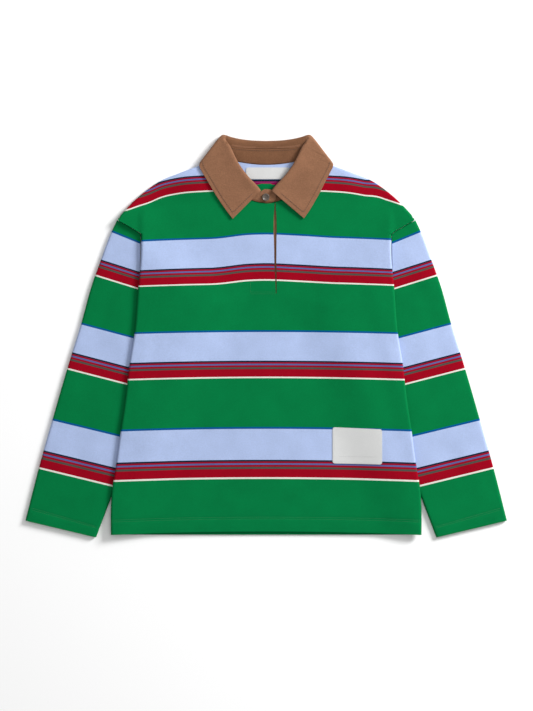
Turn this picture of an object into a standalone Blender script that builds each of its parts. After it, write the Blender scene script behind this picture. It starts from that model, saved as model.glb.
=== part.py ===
"""A child's long-sleeve polo shirt of striped jersey with a twill collar, laid flat on a table.

X runs across the shirt, Y up towards the collar and Z up from the table. Sizes are in millimetres,
and MM turns them into metres where a mesh is made. The two halves share one set of tables, whose
column "out" is the distance from the centre line.
"""

import math

import bpy
import numpy as np

MM = 0.001

# Cloth
JERSEY = 1.5            # wall of the striped body cloth
TWILL = 2.2             # wall of the two-layer collar cloth
SEAM = 0.3              # gap between pieces that are sewn together
LAYERS = 4.5            # from the middle of a lower wall to the middle of the wall above it
FOLD = 2.8              # how far a turned edge takes to come round
HEM_DEPTH = 21.0
HEM_TURN = 0.8          # what a turned-up hem adds inside the wall
TUBE = LAYERS + JERSEY  # height of a flat sleeve or body

# Body
HEM_Y = -298.7
HEM_ARCH = 4.8          # rise of the front hem at its middle
NECK_OUT = 66.0         # neck point, at the top of the shoulder
NECK_Y = 267.0
FRONT_NECK_Y = 198.2
BACK_NECK_Y = 256.2
SLIT_END_Y = 63.5
SLIT = [  # y, left x, right x
    (60.0, 14.6, 15.4), (84.0, 13.6, 15.7), (109.0, 12.2, 15.3), (133.0, 11.8, 15.4),
    (173.0, 10.7, 16.3), (200.0, 10.2, 15.6)]
SLIT_X = 13.0

# Where the body edge lies over the sleeve
ARMHOLE = (187.8, 152.4)    # armhole seam goes in under the body edge
COVERED = (187.6, 120.9)    # from here down the body lies on the sleeve
COVERED_LINE = (127.6, 60.9)    # second point of the line above which it does not
SHOULDER_END = (221.9, 175.4)
UNDERARM = (129.0, 32.0)
SLEEVE_HEAD = (188.7, 97.0)    # hidden corner of the sleeve's end, under the body edge
CUFF_OUTER = (360.6, -277.7)
CUFF_INNER = (256.1, -302.6)
SETTLE = 20.0               # length over which a wall settles from one layer to the next
CLEARANCE = 16.0            # how far before the sleeve the body has already reached its top

# Where the back panel climbs on to the back of the collar, and the step at the dropped shoulder
CLIMB_Y = (200.0, 30.0)     # where the climb starts, and how far it takes
CLIMB_OUT = (150.0, 34.0)
STEP_RISE = 2.4
STEP_OUT = 192.0
STEP_RAMP = 7.0             # width of the step's outer slope
STEP_FADE = 26.0            # width over which the step dies out inwards
STEP_Y = (90.0, 60.0, 200.0, 30.0)    # where it starts and how fast, where it ends and how fast
FOLD_CLEAR = (236.0, 30.0)  # the folds die out towards the side seam

# Collar
FALL_LIFT = TWILL + SEAM    # what the back of the collar lifts the back panel by
BUTTON_RADIUS = 5.7
BUTTON_THICK = 2.4

BODY_EDGE = [  # y, out
    (HEM_Y, 232.8), (-261.6, 232.8), (-234.6, 231.3), (-191.1, 224.4), (-141.6, 217.8),
    (-96.6, 211.1), (-41.9, 204.6), (3.9, 197.3), (69.9, 192.0), (120.9, 187.6), (152.4, 187.8)]
SHOULDER = [  # out, y
    (NECK_OUT, NECK_Y), (100.8, 254.0), (131.9, 242.4), (156.8, 232.4), (181.8, 215.4),
    (196.8, 202.4), (210.8, 188.0), SHOULDER_END]
SLEEVE_EDGE = [  # y, out
    (-277.7, 360.6), (-200.1, 340.8), (-126.6, 320.1), (-51.0, 298.2), (17.9, 276.9),
    (77.4, 260.3), (113.1, 247.4), (156.6, 231.0), (175.1, 222.2)]
BODY_FOLDS = [  # x0, y0, x1, y1, half width, rise
    (141, 64, 186, -115, 16, -1.2), (186, -115, 205, -186, 14, -1.0),
    (165, 60, 205, -110, 12, 1.0), (-24, 62, -24, 34, 12, -0.8),
    (76, 62, 76, 10, 14, -0.8), (36, 76, 36, 8, 12, 0.9),
    (-99, -86, -99, -116, 16, -0.8), (10, -86, 10, -112, 14, -0.7),
    (-54, -236, 20, -250, 16, -0.8), (31, -221, 62, -250, 14, 1.0),
    (86, -256, 120, -240, 14, -0.8), (-178, 30, -194, -90, 10, 0.9)]
SLEEVE_FOLDS = [
    (214, 130, 252, 60, 12, 0.9), (236, 60, 262, -20, 12, -0.8), (262, 10, 300, -120, 14, 0.8),
    (262, -120, 286, -215, 14, -0.9), (300, -150, 318, -235, 14, 0.7)]


def smooth(table, at, key=0, value=1):
    """Reads a table's value column at a place on its key column, as a smooth curve through its rows."""
    rows = sorted(table, key=lambda row: row[key])
    keys = [row[key] for row in rows]
    values = [row[value] for row in rows]
    slopes = np.gradient(values, keys)
    i = int(np.clip(np.searchsorted(keys, at) - 1, 0, len(keys) - 2))
    span = keys[i + 1] - keys[i]
    t = min(max((at - keys[i]) / span, 0.0), 1.0)
    return ((2 * t**3 - 3 * t**2 + 1) * values[i] + (t**3 - 2 * t**2 + t) * span * slopes[i]
            + (3 * t**2 - 2 * t**3) * values[i + 1] + (t**3 - t**2) * span * slopes[i + 1])


def ease(t):
    t = min(max(t, 0.0), 1.0)
    return t * t * (3 - 2 * t)


def lerp(a, b, t):
    return a + (b - a) * t


def side_of(line_start, line_end, x, y):
    """Distance of a point from a line, more than nought on the line's left."""
    dx, dy = line_end[0] - line_start[0], line_end[1] - line_start[1]
    return (dx * (y - line_start[1]) - dy * (x - line_start[0])) / math.hypot(dx, dy)


def relief(folds, x, y):
    """Height that the soft folds of a table add at a point."""
    total = 0.0
    for x0, y0, x1, y1, half, rise in folds:
        dx, dy = x1 - x0, y1 - y0
        t = min(max(((x - x0) * dx + (y - y0) * dy) / (dx * dx + dy * dy), 0.0), 1.0)
        away = math.hypot(x - x0 - t * dx, y - y0 - t * dy)
        total += rise * math.exp(-(away / half) ** 2)
    return total


def on_sleeve(x, y):
    """How far the body has climbed on to the sleeve under it, from 0 on the table to 1."""
    out = abs(x)
    past_inner = CLEARANCE - side_of(CUFF_INNER, UNDERARM, out, y)
    below_armhole = side_of(COVERED, COVERED_LINE, out, y)
    return ease((min(past_inner, below_armhole) + SETTLE) / SETTLE)


def on_collar(x, y):
    """How far the back panel has climbed on to the back of the collar, from 0 to 1."""
    return ease((y - CLIMB_Y[0]) / CLIMB_Y[1]) * ease((CLIMB_OUT[0] - abs(x)) / CLIMB_OUT[1])


def back_height(x, y):
    """Middle of the back panel's wall above the table."""
    return JERSEY / 2 + (TUBE + SEAM) * on_sleeve(x, y) + FALL_LIFT * on_collar(x, y)


def shoulder_step(x, y):
    """The soft step where the body stands above the dropped shoulder, dying out up the shoulder."""
    inside = STEP_OUT - abs(x)
    start, start_run, end, end_run = STEP_Y
    along = ease((y - start) / start_run) * ease((end - y) / end_run)
    return STEP_RISE * ease(inside / STEP_RAMP) * math.exp(-max(inside, 0) / STEP_FADE) * along


def front_height(x, y):
    """Middle of the front panel's wall above the table."""
    clear = ease((FOLD_CLEAR[0] - abs(x)) / FOLD_CLEAR[1])
    return back_height(x, y) + LAYERS + shoulder_step(x, y) + relief(BODY_FOLDS, x, y) * clear


def wall(name, grid, material, up=None, down=None, holes=(), wrap=False):
    """Makes a closed wall from a grid of middle points: up and down are its half walls."""
    points = np.array(grid, dtype=float)
    rows, cols = points.shape[:2]
    if wrap:
        across = np.roll(points, -1, 1) - np.roll(points, 1, 1)
    else:
        across = np.gradient(points, axis=1)
    normal = np.cross(across, np.gradient(points, axis=0))
    normal /= np.linalg.norm(normal, axis=2)[..., None]
    up = np.full((rows, cols), JERSEY / 2) if up is None else np.asarray(up, dtype=float)
    down = np.full((rows, cols), JERSEY / 2) if down is None else np.asarray(down, dtype=float)
    vertices = np.concatenate([(points + normal * up[..., None]).reshape(-1, 3),
                               (points - normal * down[..., None]).reshape(-1, 3)]) * MM
    count = rows * cols
    cells = [(r, c) for r in range(rows - 1) for c in range(cols if wrap else cols - 1)
             if (r, c) not in holes]
    faces, edges = [], {}
    for r, c in cells:
        d = (c + 1) % cols
        ring = [r * cols + c, r * cols + d, (r + 1) * cols + d, (r + 1) * cols + c]
        faces.append(ring)
        faces.append([i + count for i in reversed(ring)])
        for a, b in zip(ring, ring[1:] + ring[:1]):
            if (b, a) in edges:
                del edges[b, a]
            else:
                edges[a, b] = True
    faces += [[b, a, a + count, b + count] for a, b in edges]
    used = sorted({i for face in faces for i in face})
    place = {old: new for new, old in enumerate(used)}
    mesh = bpy.data.meshes.new(name)
    mesh.from_pydata([vertices[i] for i in used], [], [[place[i] for i in f] for f in faces])
    mesh.materials.append(material)
    piece = bpy.data.objects.new(name, mesh)
    bpy.context.scene.collection.objects.link(piece)
    mesh.shade_smooth()
    mesh.set_sharp_from_angle(angle=math.radians(40))
    return piece


def make_material(name, colour, roughness, metallic=0.0):
    material = bpy.data.materials.new(name)
    material.use_nodes = True
    shader = material.node_tree.nodes["Principled BSDF"]
    shader.inputs["Base Color"].default_value = (*colour, 1.0)
    shader.inputs["Roughness"].default_value = roughness
    shader.inputs["Metallic"].default_value = metallic
    return material


# ---------------------------------------------------------------- body panels

TURN = [0.0, 10.0, 35.0, 62.0]        # steps round a turned edge, in degrees
SHOULDER_COLUMNS = 8            # from the shoulder's end to the neck point
NECK_COLUMNS = 8                # from the neck point to the slit
HEM_ROWS = [0.0, HEM_DEPTH / 2, HEM_DEPTH - 0.8, HEM_DEPTH + 0.8]    # above the hem
LOWER_ROWS = np.linspace(HEM_Y + HEM_DEPTH + 26, SLIT_END_Y, 12).tolist()
SLIT_ROWS = [92.0, 120.9, 137.0, ARMHOLE[1]]
ARCH_FADE = (-230.0, 60.0)      # where the arch of the front hem has died out, and how far it takes
UPPER_ROWS = [0.14, 0.28, 0.42, 0.56, 0.69, 0.8, 0.89, 0.95]


def neck_line(out, front):
    """Height up the shirt of the neckline, at a distance from the centre line."""
    if front:
        return NECK_Y - (NECK_Y - FRONT_NECK_Y) * math.sqrt(max(1 - (out / NECK_OUT) ** 2, 0))
    return lerp(BACK_NECK_Y, NECK_Y, (out / NECK_OUT) ** 2)


def half_columns(inner_x):
    """Columns of one half, from the side to the inner line: (turn, place at base, place at top)."""
    columns = []
    for turn in TURN:
        columns.append((turn, 0.0, SHOULDER_END))
    for i in range(1, SHOULDER_COLUMNS + 1):
        t = i / SHOULDER_COLUMNS
        out = lerp(SHOULDER_END[0], NECK_OUT, t)
        columns.append((90.0, t, (out, smooth(SHOULDER, out))))
    last = math.acos(inner_x / NECK_OUT)
    for i in range(1, NECK_COLUMNS + 1):
        angle = last * i / NECK_COLUMNS
        columns.append((90.0, 1.0 + i / NECK_COLUMNS, (NECK_OUT * math.cos(angle), None)))
    return columns


def column_out(column, edge):
    """Distance from the centre line of a column, where the body edge is at the distance edge."""
    turn, place, top = column
    if turn < 90.0:
        return edge - FOLD * (1 - math.cos(math.radians(turn)))
    if place <= 1.0:
        start = edge - FOLD
        return lerp(start, NECK_OUT, (place - 1 / SHOULDER_COLUMNS) / (1 - 1 / SHOULDER_COLUMNS))
    return top[0]


def panel(name, front, material):
    """One body panel: rows up from the hem, each from the left side seam to the right one."""
    left = half_columns(-SLIT_X if front else 0.0)
    right = half_columns(SLIT_X)[::-1] if front else half_columns(0.0)[-2::-1]
    height = front_height if front else back_height
    sign = 1 if front else -1
    columns = [(-1, c) for c in left] + [(1, c) for c in right]
    body_ys = [HEM_Y + depth for depth in HEM_ROWS] + LOWER_ROWS + SLIT_ROWS
    grid, down = [], []
    for y in body_ys:
        row = []
        for i, (side, column) in enumerate(columns):
            edge = smooth(BODY_EDGE, y) - JERSEY / 2
            x = slit_x(i, len(left), y) if front else None
            x = side * column_out(column, edge) if x is None else x
            arch = HEM_ARCH * (1 - (x / edge) ** 2) if front else 0.0
            arch *= ease((ARCH_FADE[0] - y) / ARCH_FADE[1])
            row.append((x, y + arch, seam_height(x, y, column[0], 1.0, height, sign)))
        grid.append(row)
        hem = y < HEM_Y + HEM_DEPTH
        down.append([JERSEY / 2 + (HEM_TURN if hem and c[0] == 90.0 else 0.0) for s, c in columns])
    grid += upper_rows(columns, front, height, sign, len(left))
    down += [[JERSEY / 2] * len(columns)] * (len(grid) - len(down))
    holes = set()
    if front:
        holes = {(r, len(left) - 1) for r in range(body_ys.index(SLIT_END_Y), len(grid) - 1)}
        wall(name, grid, material, down=down, holes=holes)
    else:
        wall(name, grid, material, up=down)
    return grid


def seam_height(x, y, turn, strength, height, sign):
    """Height of a panel's wall, brought to the seam at mid height where its edge turns."""
    middle = (back_height(x, y) + front_height(x, y)) / 2
    drop = (height(x, y) - middle - sign * SEAM / 2) * (1 - math.sin(math.radians(turn)))
    return height(x, y) - drop * strength


def slit_x(column, left_columns, y):
    """Place of the slit's edge where a column of the front panel runs along it, otherwise None."""
    if column == left_columns - 1:
        return smooth(SLIT, y, 0, 1)
    return smooth(SLIT, y, 0, 2) if column == left_columns else None


def upper_rows(columns, front, height, sign, left_columns):
    """Rows from the armhole up to the shoulder and the neckline."""
    rows = []
    steps = [(s, 90.0) for s in UPPER_ROWS] + [(1.0, t) for t in reversed(TURN)]
    for s, shoulder_turn in steps:
        row = []
        for i, (side, column) in enumerate(columns):
            turn, place, top = column
            base_out = column_out(column, ARMHOLE[0] - JERSEY / 2)
            top_out = top[0]
            if turn < 90.0:
                top_out = top[0] - FOLD * (1 - math.cos(math.radians(turn)))
            top_y = neck_line(top[0], front) if top[1] is None else top[1]
            back_off = FOLD * (1 - math.cos(math.radians(shoulder_turn))) if s == 1.0 else FOLD * s
            y = lerp(ARMHOLE[1], top_y - back_off, s)
            strength = 1.0 if s == 1.0 and place <= 1.0 else 0.0
            x = slit_x(i, left_columns, y) if front else None
            x = side * lerp(base_out, top_out, s) if x is None else x
            row.append((x, y, seam_height(x, y, shoulder_turn, strength, height, sign)))
        rows.append(row)
    return rows


# ---------------------------------------------------------------- sleeves

SEEN_END = 0.33                 # share of the armhole end that shows
HEAD_END = 0.56                 # share down to the hidden corner
SLEEVE_PLACES = [0.11, 0.22, SEEN_END, 0.44, HEAD_END, 0.67, 0.78, 0.89]
SLEEVE_ROWS = [0.0, 0.03, 0.08, 0.14, 0.22, 0.31, 0.4, 0.5, 0.6, 0.7, 0.79, 0.87]
CUFF_START = 0.955              # share of the length where the turned-up cuff starts
CUFF_ROWS = [CUFF_START - 0.004, CUFF_START + 0.004, 1.0]
END_TURN = [90.0, 45.0, 0.0, -45.0]
END_ALONG = (-0.8, -0.6)        # direction across the sleeve at its armhole end
FOLD_SHOWN = (6.0, 20.0, 12.0)  # clear of the body's edge, run, and run from the armhole


def sleeve_end(w):
    """Plan of the sleeve's armhole end, from the shoulder (0) to the underarm (1)."""
    if w <= SEEN_END:
        s = 1 - w / SEEN_END
        return (lerp(ARMHOLE[0], SHOULDER_END[0], s) + SEAM,
                lerp(ARMHOLE[1], SHOULDER_END[1] - FOLD * s, s) - SEAM)
    if w <= HEAD_END:
        t = (w - SEEN_END) / (HEAD_END - SEEN_END)
        return (lerp(ARMHOLE[0] + SEAM, SLEEVE_HEAD[0], t), lerp(ARMHOLE[1] - SEAM, SLEEVE_HEAD[1], t))
    t = (w - HEAD_END) / (1 - HEAD_END)
    return lerp(SLEEVE_HEAD[0], UNDERARM[0], t), lerp(SLEEVE_HEAD[1], UNDERARM[1], t)


def sleeve_point(w, v):
    """Plan of a sleeve: w from its outer to its inner edge, v from armhole to cuff."""
    top, bottom = sleeve_end(0.0), CUFF_OUTER
    outer_y = lerp(top[1], bottom[1], v)
    outer = (smooth(SLEEVE_EDGE, outer_y), outer_y)
    inner = (lerp(UNDERARM[0], CUFF_INNER[0], v), lerp(UNDERARM[1], CUFF_INNER[1], v))
    end = sleeve_end(w)
    flat_end = (lerp(top[0], UNDERARM[0], w), lerp(top[1], UNDERARM[1], w))
    fade = (1 - v) ** 2
    return (lerp(outer[0], inner[0], w) + (end[0] - flat_end[0]) * fade,
            lerp(outer[1], inner[1], w) + (end[1] - flat_end[1]) * fade)


def turned(edge, inwards, angle):
    """A point of the rounded edge of a flat tube, at an angle round it."""
    shift = FOLD * (1 - math.cos(math.radians(angle)))
    return (edge[0] + inwards[0] * shift, edge[1] + inwards[1] * shift,
            TUBE / 2 + LAYERS / 2 * math.sin(math.radians(angle)))


def sleeve(name, side, material):
    """A flat tube: each ring goes over the top from the outer edge and back underneath."""
    grid, down = [], []
    for v in SLEEVE_ROWS + CUFF_ROWS:
        row = []
        outer, inner = sleeve_point(0.0, v), sleeve_point(1.0, v)
        length = math.dist(inner, outer)
        along = ((inner[0] - outer[0]) / length, (inner[1] - outer[1]) / length)
        if v == 0.0:
            along = END_ALONG
        for angle in reversed(END_TURN):
            row.append(turned(outer, along, angle))
        for w in SLEEVE_PLACES:
            out, y = sleeve_point(w, v)
            clear, run, start = FOLD_SHOWN
            shown = ease((out - smooth(BODY_EDGE, y) - clear) / run) * ease(v * start)
            row.append((out, y, TUBE - JERSEY / 2 + relief(SLEEVE_FOLDS, out, y) * shown))
        back_along = (-along[0], -along[1])
        for angle in END_TURN:
            row.append(turned(inner, back_along, angle))
        row.append((inner[0] - along[0] * FOLD, inner[1] - along[1] * FOLD, JERSEY / 2))
        row += [(*sleeve_point(w, v), JERSEY / 2) for w in reversed(SLEEVE_PLACES)]
        row.append((outer[0] + along[0] * FOLD, outer[1] + along[1] * FOLD, JERSEY / 2))
        grid.append([(side * x, y, z) for x, y, z in row])
        down.append([JERSEY / 2 + (HEM_TURN if v > CUFF_START else 0.0)] * len(row))
    if side > 0:
        grid = [row[::-1] for row in grid]
    outer_wall = [[JERSEY / 2] * len(grid[0])] * len(grid)
    return wall(name, grid, material, up=down, down=outer_wall, wrap=True)


# ---------------------------------------------------------------- collar

# One row a section, from the front end of the collar round to its middle at the back. base is
# where the stand meets the neckline, seam where it meets the fall (found from the roll where it
# lies under it), roll the fall's inner edge seen from above, far where the fall turns under and
# end its outer edge.
COLLAR = [
    # side   base  seam x, y      seam z  roll x, y, z          far x, y       end x, y, z
    ("front", 8.5,  None,          8.0,   (8.0, 219.6, 12.6),   None,          None),
    ("front", 18.0, None,          8.8,   (16.0, 226.4, 12.9),  None,          (58.6, 186.2, 7.8)),
    ("front", 33.0, None,          9.3,   (24.0, 235.5, 13.2),  None,          (67.4, 198.0, 7.7)),
    ("front", 47.0, None,          9.8,   (33.0, 247.0, 13.4),  None,          (78.0, 212.3, 7.7)),
    ("front", 57.5, None,          10.0,  (40.4, 258.6, 13.4),  None,          (87.5, 227.0, 7.8)),
    ("front", 62.4, None,          10.0,  (47.0, 269.0, 13.2),  None,          (94.5, 242.0, 7.6)),
    ("front", 63.2, None,          9.6,   (51.5, 277.0, 12.8),  None,          (98.7, 254.0, 7.6)),
    ("front", 63.7, None,          9.3,   (54.2, 282.5, 12.4),  None,          (97.2, 261.0, 5.2)),
    ("front", 63.9, None,          8.1,   (57.0, 287.0, 11.6),  (90.8, 268.7), (88.0, 262.5, 1.2)),
    ("front", 64.2, None,          6.9,   (61.5, 293.5, 10.4),  (80.8, 282.6), (68.0, 251.0, 1.2)),
    ("back", 61.5,  (60.5, 288.6), 6.1,   (60.0, 295.0, 8.8),   (66.0, 299.6), (54.0, 246.5, 1.2)),
    ("back", 48.0,  (48.0, 283.6), 6.0,   (48.0, 291.0, 7.8),   (48.0, 296.6), (41.0, 243.5, 1.2)),
    ("back", 24.0,  (24.0, 280.4), 5.8,   (24.0, 287.0, 7.4),   (24.0, 293.0), (21.0, 242.2, 1.2)),
    ("back", 0.0,   (0.0, 279.4),  5.8,   (0.0, 286.2, 7.4),    (0.0, 292.0),  (0.0, 242.0, 1.2))]
FALL_REST = 1.2         # middle of the fall's wall where it lies on the table
LEFT_TIP = (49.8, 175.6, 8.0)
RIGHT_TIP = (56.6, 176.2, 8.0)
BAND_LAP = 14.4         # how far the upper end of the band reaches past the centre line
BAND_UNDER = 2.35       # how much lower the end beneath it lies
FALL_POINTS = 11
COLLAR_STEPS = 2        # sections between two rows of the table


def spline(points, count):
    """Even points along a smooth curve through the given ones."""
    pts = np.array(points, dtype=float)
    run = np.concatenate([[0], np.cumsum(np.linalg.norm(np.diff(pts, axis=0), axis=1))])
    slopes = np.gradient(pts, run, axis=0)
    out = []
    for at in np.linspace(0, run[-1], count):
        i = int(np.clip(np.searchsorted(run, at) - 1, 0, len(run) - 2))
        span = run[i + 1] - run[i]
        t = (at - run[i]) / span
        out.append((2 * t**3 - 3 * t**2 + 1) * pts[i] + (t**3 - 2 * t**2 + t) * span * slopes[i]
                   + (3 * t**2 - 2 * t**3) * pts[i + 1] + (t**3 - t**2) * span * slopes[i + 1])
    return np.array(out)


def between(sections):
    """Adds smooth sections between the given ones."""
    stack = np.array(sections)
    rows = []
    count = (len(stack) - 1) * COLLAR_STEPS + 1
    for at in np.linspace(0, len(stack) - 1, count):
        i = min(int(at), len(stack) - 2)
        t = at - i
        before, after = stack[max(i - 1, 0)], stack[min(i + 2, len(stack) - 1)]
        m0 = (stack[i + 1] - before) / 2
        m1 = (after - stack[i]) / 2
        rows.append((2 * t**3 - 3 * t**2 + 1) * stack[i] + (t**3 - 2 * t**2 + t) * m0
                    + (3 * t**2 - 2 * t**3) * stack[i + 1] + (t**3 - t**2) * m1)
    return rows


def outward(row, tip):
    """Direction in plan from the roll to the far side of the fall."""
    roll, far, end = row[4], row[5], row[6] or tip
    across = np.array(far or end[:2]) - np.array(roll[:2])
    return across / np.linalg.norm(across)


def clear_of_front(point):
    """Lifts a point of the fall just clear of the front panel under it."""
    if point[1] < neck_line(min(point[0], NECK_OUT), True) or point[0] > NECK_OUT:
        rest = front_height(point[0], point[1]) + JERSEY / 2 + SEAM + TWILL / 2 + 0.15
        point[2] = max(point[2], rest)
    return point


def fall_section(row, tip):
    """One section of the fall: up from the stand's seam, over the roll and out to the outer edge."""
    side, base, seam, seam_z, roll, far, end = row
    roll, end, out, half = np.array(roll), np.array(end or tip), outward(row, tip), TWILL / 2
    if side == "back":
        over = [np.array([seam[0], seam[1] + SEAM + 0.2, seam_z + 0.1]), roll]
    else:
        over = [np.array([*(roll[:2] + out * half), seam_z + 0.2]),
                np.array([*(roll[:2] + out * (half + 2.2)), roll[2]])]
    if not far:
        reach = end - over[-1]
        past_shoulder = end[2] < 7.0
        sag = [over[-1] + reach * t - np.array([0, 0, 1.2]) * math.sin(math.pi * t) * (1 - t)
               for t in (0.2, 0.4, 0.6, 0.8)]
        lifted = [clear_of_front(point) for point in sag]
        return spline(over + lifted + [end if past_shoulder else clear_of_front(end)], FALL_POINTS)
    radius = (over[-1][2] - end[2]) / 2
    edge = np.array(far) - out * half
    bend = [np.array([*(edge - out * radius * (1 - math.sin(a))), end[2] + radius * (1 + math.cos(a))])
            for a in np.radians([20, 60, 90, 120, 160])]
    run = [over[-1] + (bend[0] - over[-1]) * 0.5] if np.linalg.norm(bend[0] - over[-1]) > 12 else []
    under = [bend[-1] + (end - bend[-1]) * t for t in (0.35, 0.7)]
    for point in under:
        point[2] = end[2]
    return spline(over + run + bend + under + [end], FALL_POINTS)


def mirrored(sections):
    return [section * np.array([-1, 1, 1]) for section in sections]


def collar_fall(material):
    """The turned-down leaf of the collar, one cloth from one tip round the back to the other."""
    left = mirrored(between([fall_section(row, LEFT_TIP) for row in COLLAR]))
    right = between([fall_section(row, RIGHT_TIP) for row in COLLAR])
    grid = np.array(left + right[-2::-1])
    grid[:, :, 2] = np.maximum(grid[:, :, 2], FALL_REST)
    half = [[TWILL / 2] * FALL_POINTS] * len(grid)
    return wall("collar_fall", grid, material, up=half, down=half)


NECK_INSET = 1.6        # from the neckline's edge to the middle of the stand's lower edge
STAND_STEPS = (0.0, 0.33, 0.66, 1.0)


def stand_base(side, x):
    """Lower edge of the stand, just inside the neckline."""
    if side == "back":
        y = neck_line(x, False) + NECK_INSET
        return np.array([x, y, back_height(x, y) + 0.7])
    share = math.sqrt(max(1 - (x / (NECK_OUT - NECK_INSET)) ** 2, 0))
    y = NECK_Y - (NECK_Y - FRONT_NECK_Y - NECK_INSET) * share
    return np.array([x, y, front_height(x, y)])


def stand_section(row, tip):
    side, base_x, seam, seam_z, roll = row[:5]
    base = stand_base(side, base_x)
    if seam is None:
        seam = np.array(roll[:2]) + outward(row, tip) * (TWILL + SEAM + 0.9)
    top = np.array([seam[0], seam[1], seam_z])
    return np.array([base + (top - base) * t for t in STAND_STEPS])


def band_end(x, tip):
    """A section of the band near its lapped ends, straight up the shirt at a distance x."""
    base = stand_base("front", abs(x))
    top = stand_section(COLLAR[0], tip)[-1]
    reach = np.array([0, top[1] - base[1] - 1.2 * ease((abs(x) - 11.0) / 4.0), top[2] - base[2]])
    return np.array([np.array([x, base[1], base[2]]) + reach * t for t in STAND_STEPS])


def collar_stand(material):
    """The band that the collar stands on, its left end lapped over its right end at the front."""
    left_half = between([stand_section(row, LEFT_TIP) for row in COLLAR])
    right_half = between([stand_section(row, RIGHT_TIP) for row in COLLAR])
    left = mirrored([band_end(-x, LEFT_TIP) for x in (BAND_LAP, 11.5, 4.0, -3.0)] + left_half)
    right = [band_end(x, RIGHT_TIP) for x in (-2.0, 3.0)] + right_half
    for section in right:
        front = ease((226.0 - section[0, 1]) / 10.0)
        section[:, 2] -= BAND_UNDER * ease((28.0 - section[0, 0]) / 10.0) * front
    grid = left + right[-2::-1]
    half = [[TWILL / 2] * len(STAND_STEPS)] * len(grid)
    return wall("collar_stand", grid, material, up=half, down=half)


# ---------------------------------------------------------------- small pieces

UNDER_PLACKET = ((-2.0, 58.0), (30.0, 58.0), (30.0, 197.0), (-2.0, 197.0))
UNDER_PLACKET_Z = 3.0
FACING = 1.4
NECK_LABEL = ((-30.3, 234.8), (36.0, 234.8), (36.0, 252.3), (-30.3, 252.3))
SIZE_TAB = ((36.4, 246.2), (41.4, 246.2), (41.4, 251.6), (36.4, 251.6))
HEM_LABEL = ((99.5, -191.7), (173.7, -193.2), (173.7, -140.4), (99.5, -137.4))
LABEL = 0.6
FACET_CLEAR = 0.55      # more room where a patch's facets cross those of the panel
BUTTON_PLACE = (-0.6, 207.6)
BUTTON_SIDES = 32
BUTTON_PROFILE = [  # radius, height
    (0.0, 0.0), (4.6, 0.0), (5.5, 0.5), (BUTTON_RADIUS, 1.2), (5.5, 2.0), (4.9, BUTTON_THICK),
    (4.2, 2.3), (3.6, 1.9), (0.0, 1.8)]


def laid_patch(name, corners, height, thick, steps, material):
    """A flat piece that follows what it lies on. height gives the middle of its own wall."""
    lower_left, lower_right, upper_right, upper_left = corners
    grid = []
    for j in range(steps[1] + 1):
        v = j / steps[1]
        row = []
        for i in range(steps[0] + 1):
            u = i / steps[0]
            x = lerp(lerp(lower_left[0], lower_right[0], u), lerp(upper_left[0], upper_right[0], u), v)
            y = lerp(lerp(lower_left[1], lower_right[1], u), lerp(upper_left[1], upper_right[1], u), v)
            row.append((x, y, height(x, y)))
        grid.append(row)
    half = [[thick / 2] * (steps[0] + 1)] * (steps[1] + 1)
    return wall(name, grid, material, up=half, down=half)


def on_panel(height, thick):
    """Height of a patch that lies on a panel."""
    return lambda x, y: height(x, y) + (JERSEY + thick) / 2 + SEAM


def reading(grid):
    """Gives the height of a panel's own facets from its rows of points."""
    rows = [np.array(row) for row in grid]

    def height(x, y):
        levels = [np.interp(x, row[:, 0], row[:, 2]) for row in rows]
        places = [np.interp(x, row[:, 0], row[:, 1]) for row in rows]
        return float(np.interp(y, places, levels)) + FACET_CLEAR

    return height


def button(material):
    """A turned button with a sunk face, on the slope of the band."""
    profile, sides = BUTTON_PROFILE, BUTTON_SIDES
    bottom = stand_base("front", abs(BUTTON_PLACE[0]))
    top = stand_section(COLLAR[0], LEFT_TIP)[-1]
    slope = math.atan2(top[2] - bottom[2], top[1] - bottom[1])
    share = (BUTTON_PLACE[1] - bottom[1]) / (top[1] - bottom[1])
    seat = lerp(bottom[2], top[2], share) + TWILL / 2 + SEAM
    vertices, faces = [(0, 0, 0), (0, 0, profile[-1][1] * MM)], []
    for radius, z in profile[1:-1]:
        for i in range(sides):
            angle = math.tau * i / sides
            vertices.append((radius * MM * math.cos(angle), radius * MM * math.sin(angle), z * MM))
    rings = len(profile) - 2
    for i in range(sides):
        j = (i + 1) % sides
        faces.append((0, 2 + j, 2 + i))
        faces.append((1, 2 + (rings - 1) * sides + i, 2 + (rings - 1) * sides + j))
        for ring in range(rings - 1):
            low, high = 2 + ring * sides, 2 + (ring + 1) * sides
            faces.append((low + i, low + j, high + j, high + i))
    mesh = bpy.data.meshes.new("button")
    mesh.from_pydata(vertices, [], faces)
    mesh.materials.append(material)
    mesh.shade_smooth()
    piece = bpy.data.objects.new("button", mesh)
    piece.location = (BUTTON_PLACE[0] * MM, BUTTON_PLACE[1] * MM, seat * MM)
    piece.rotation_euler = (slope, 0, 0)
    bpy.context.scene.collection.objects.link(piece)
    return piece


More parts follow.
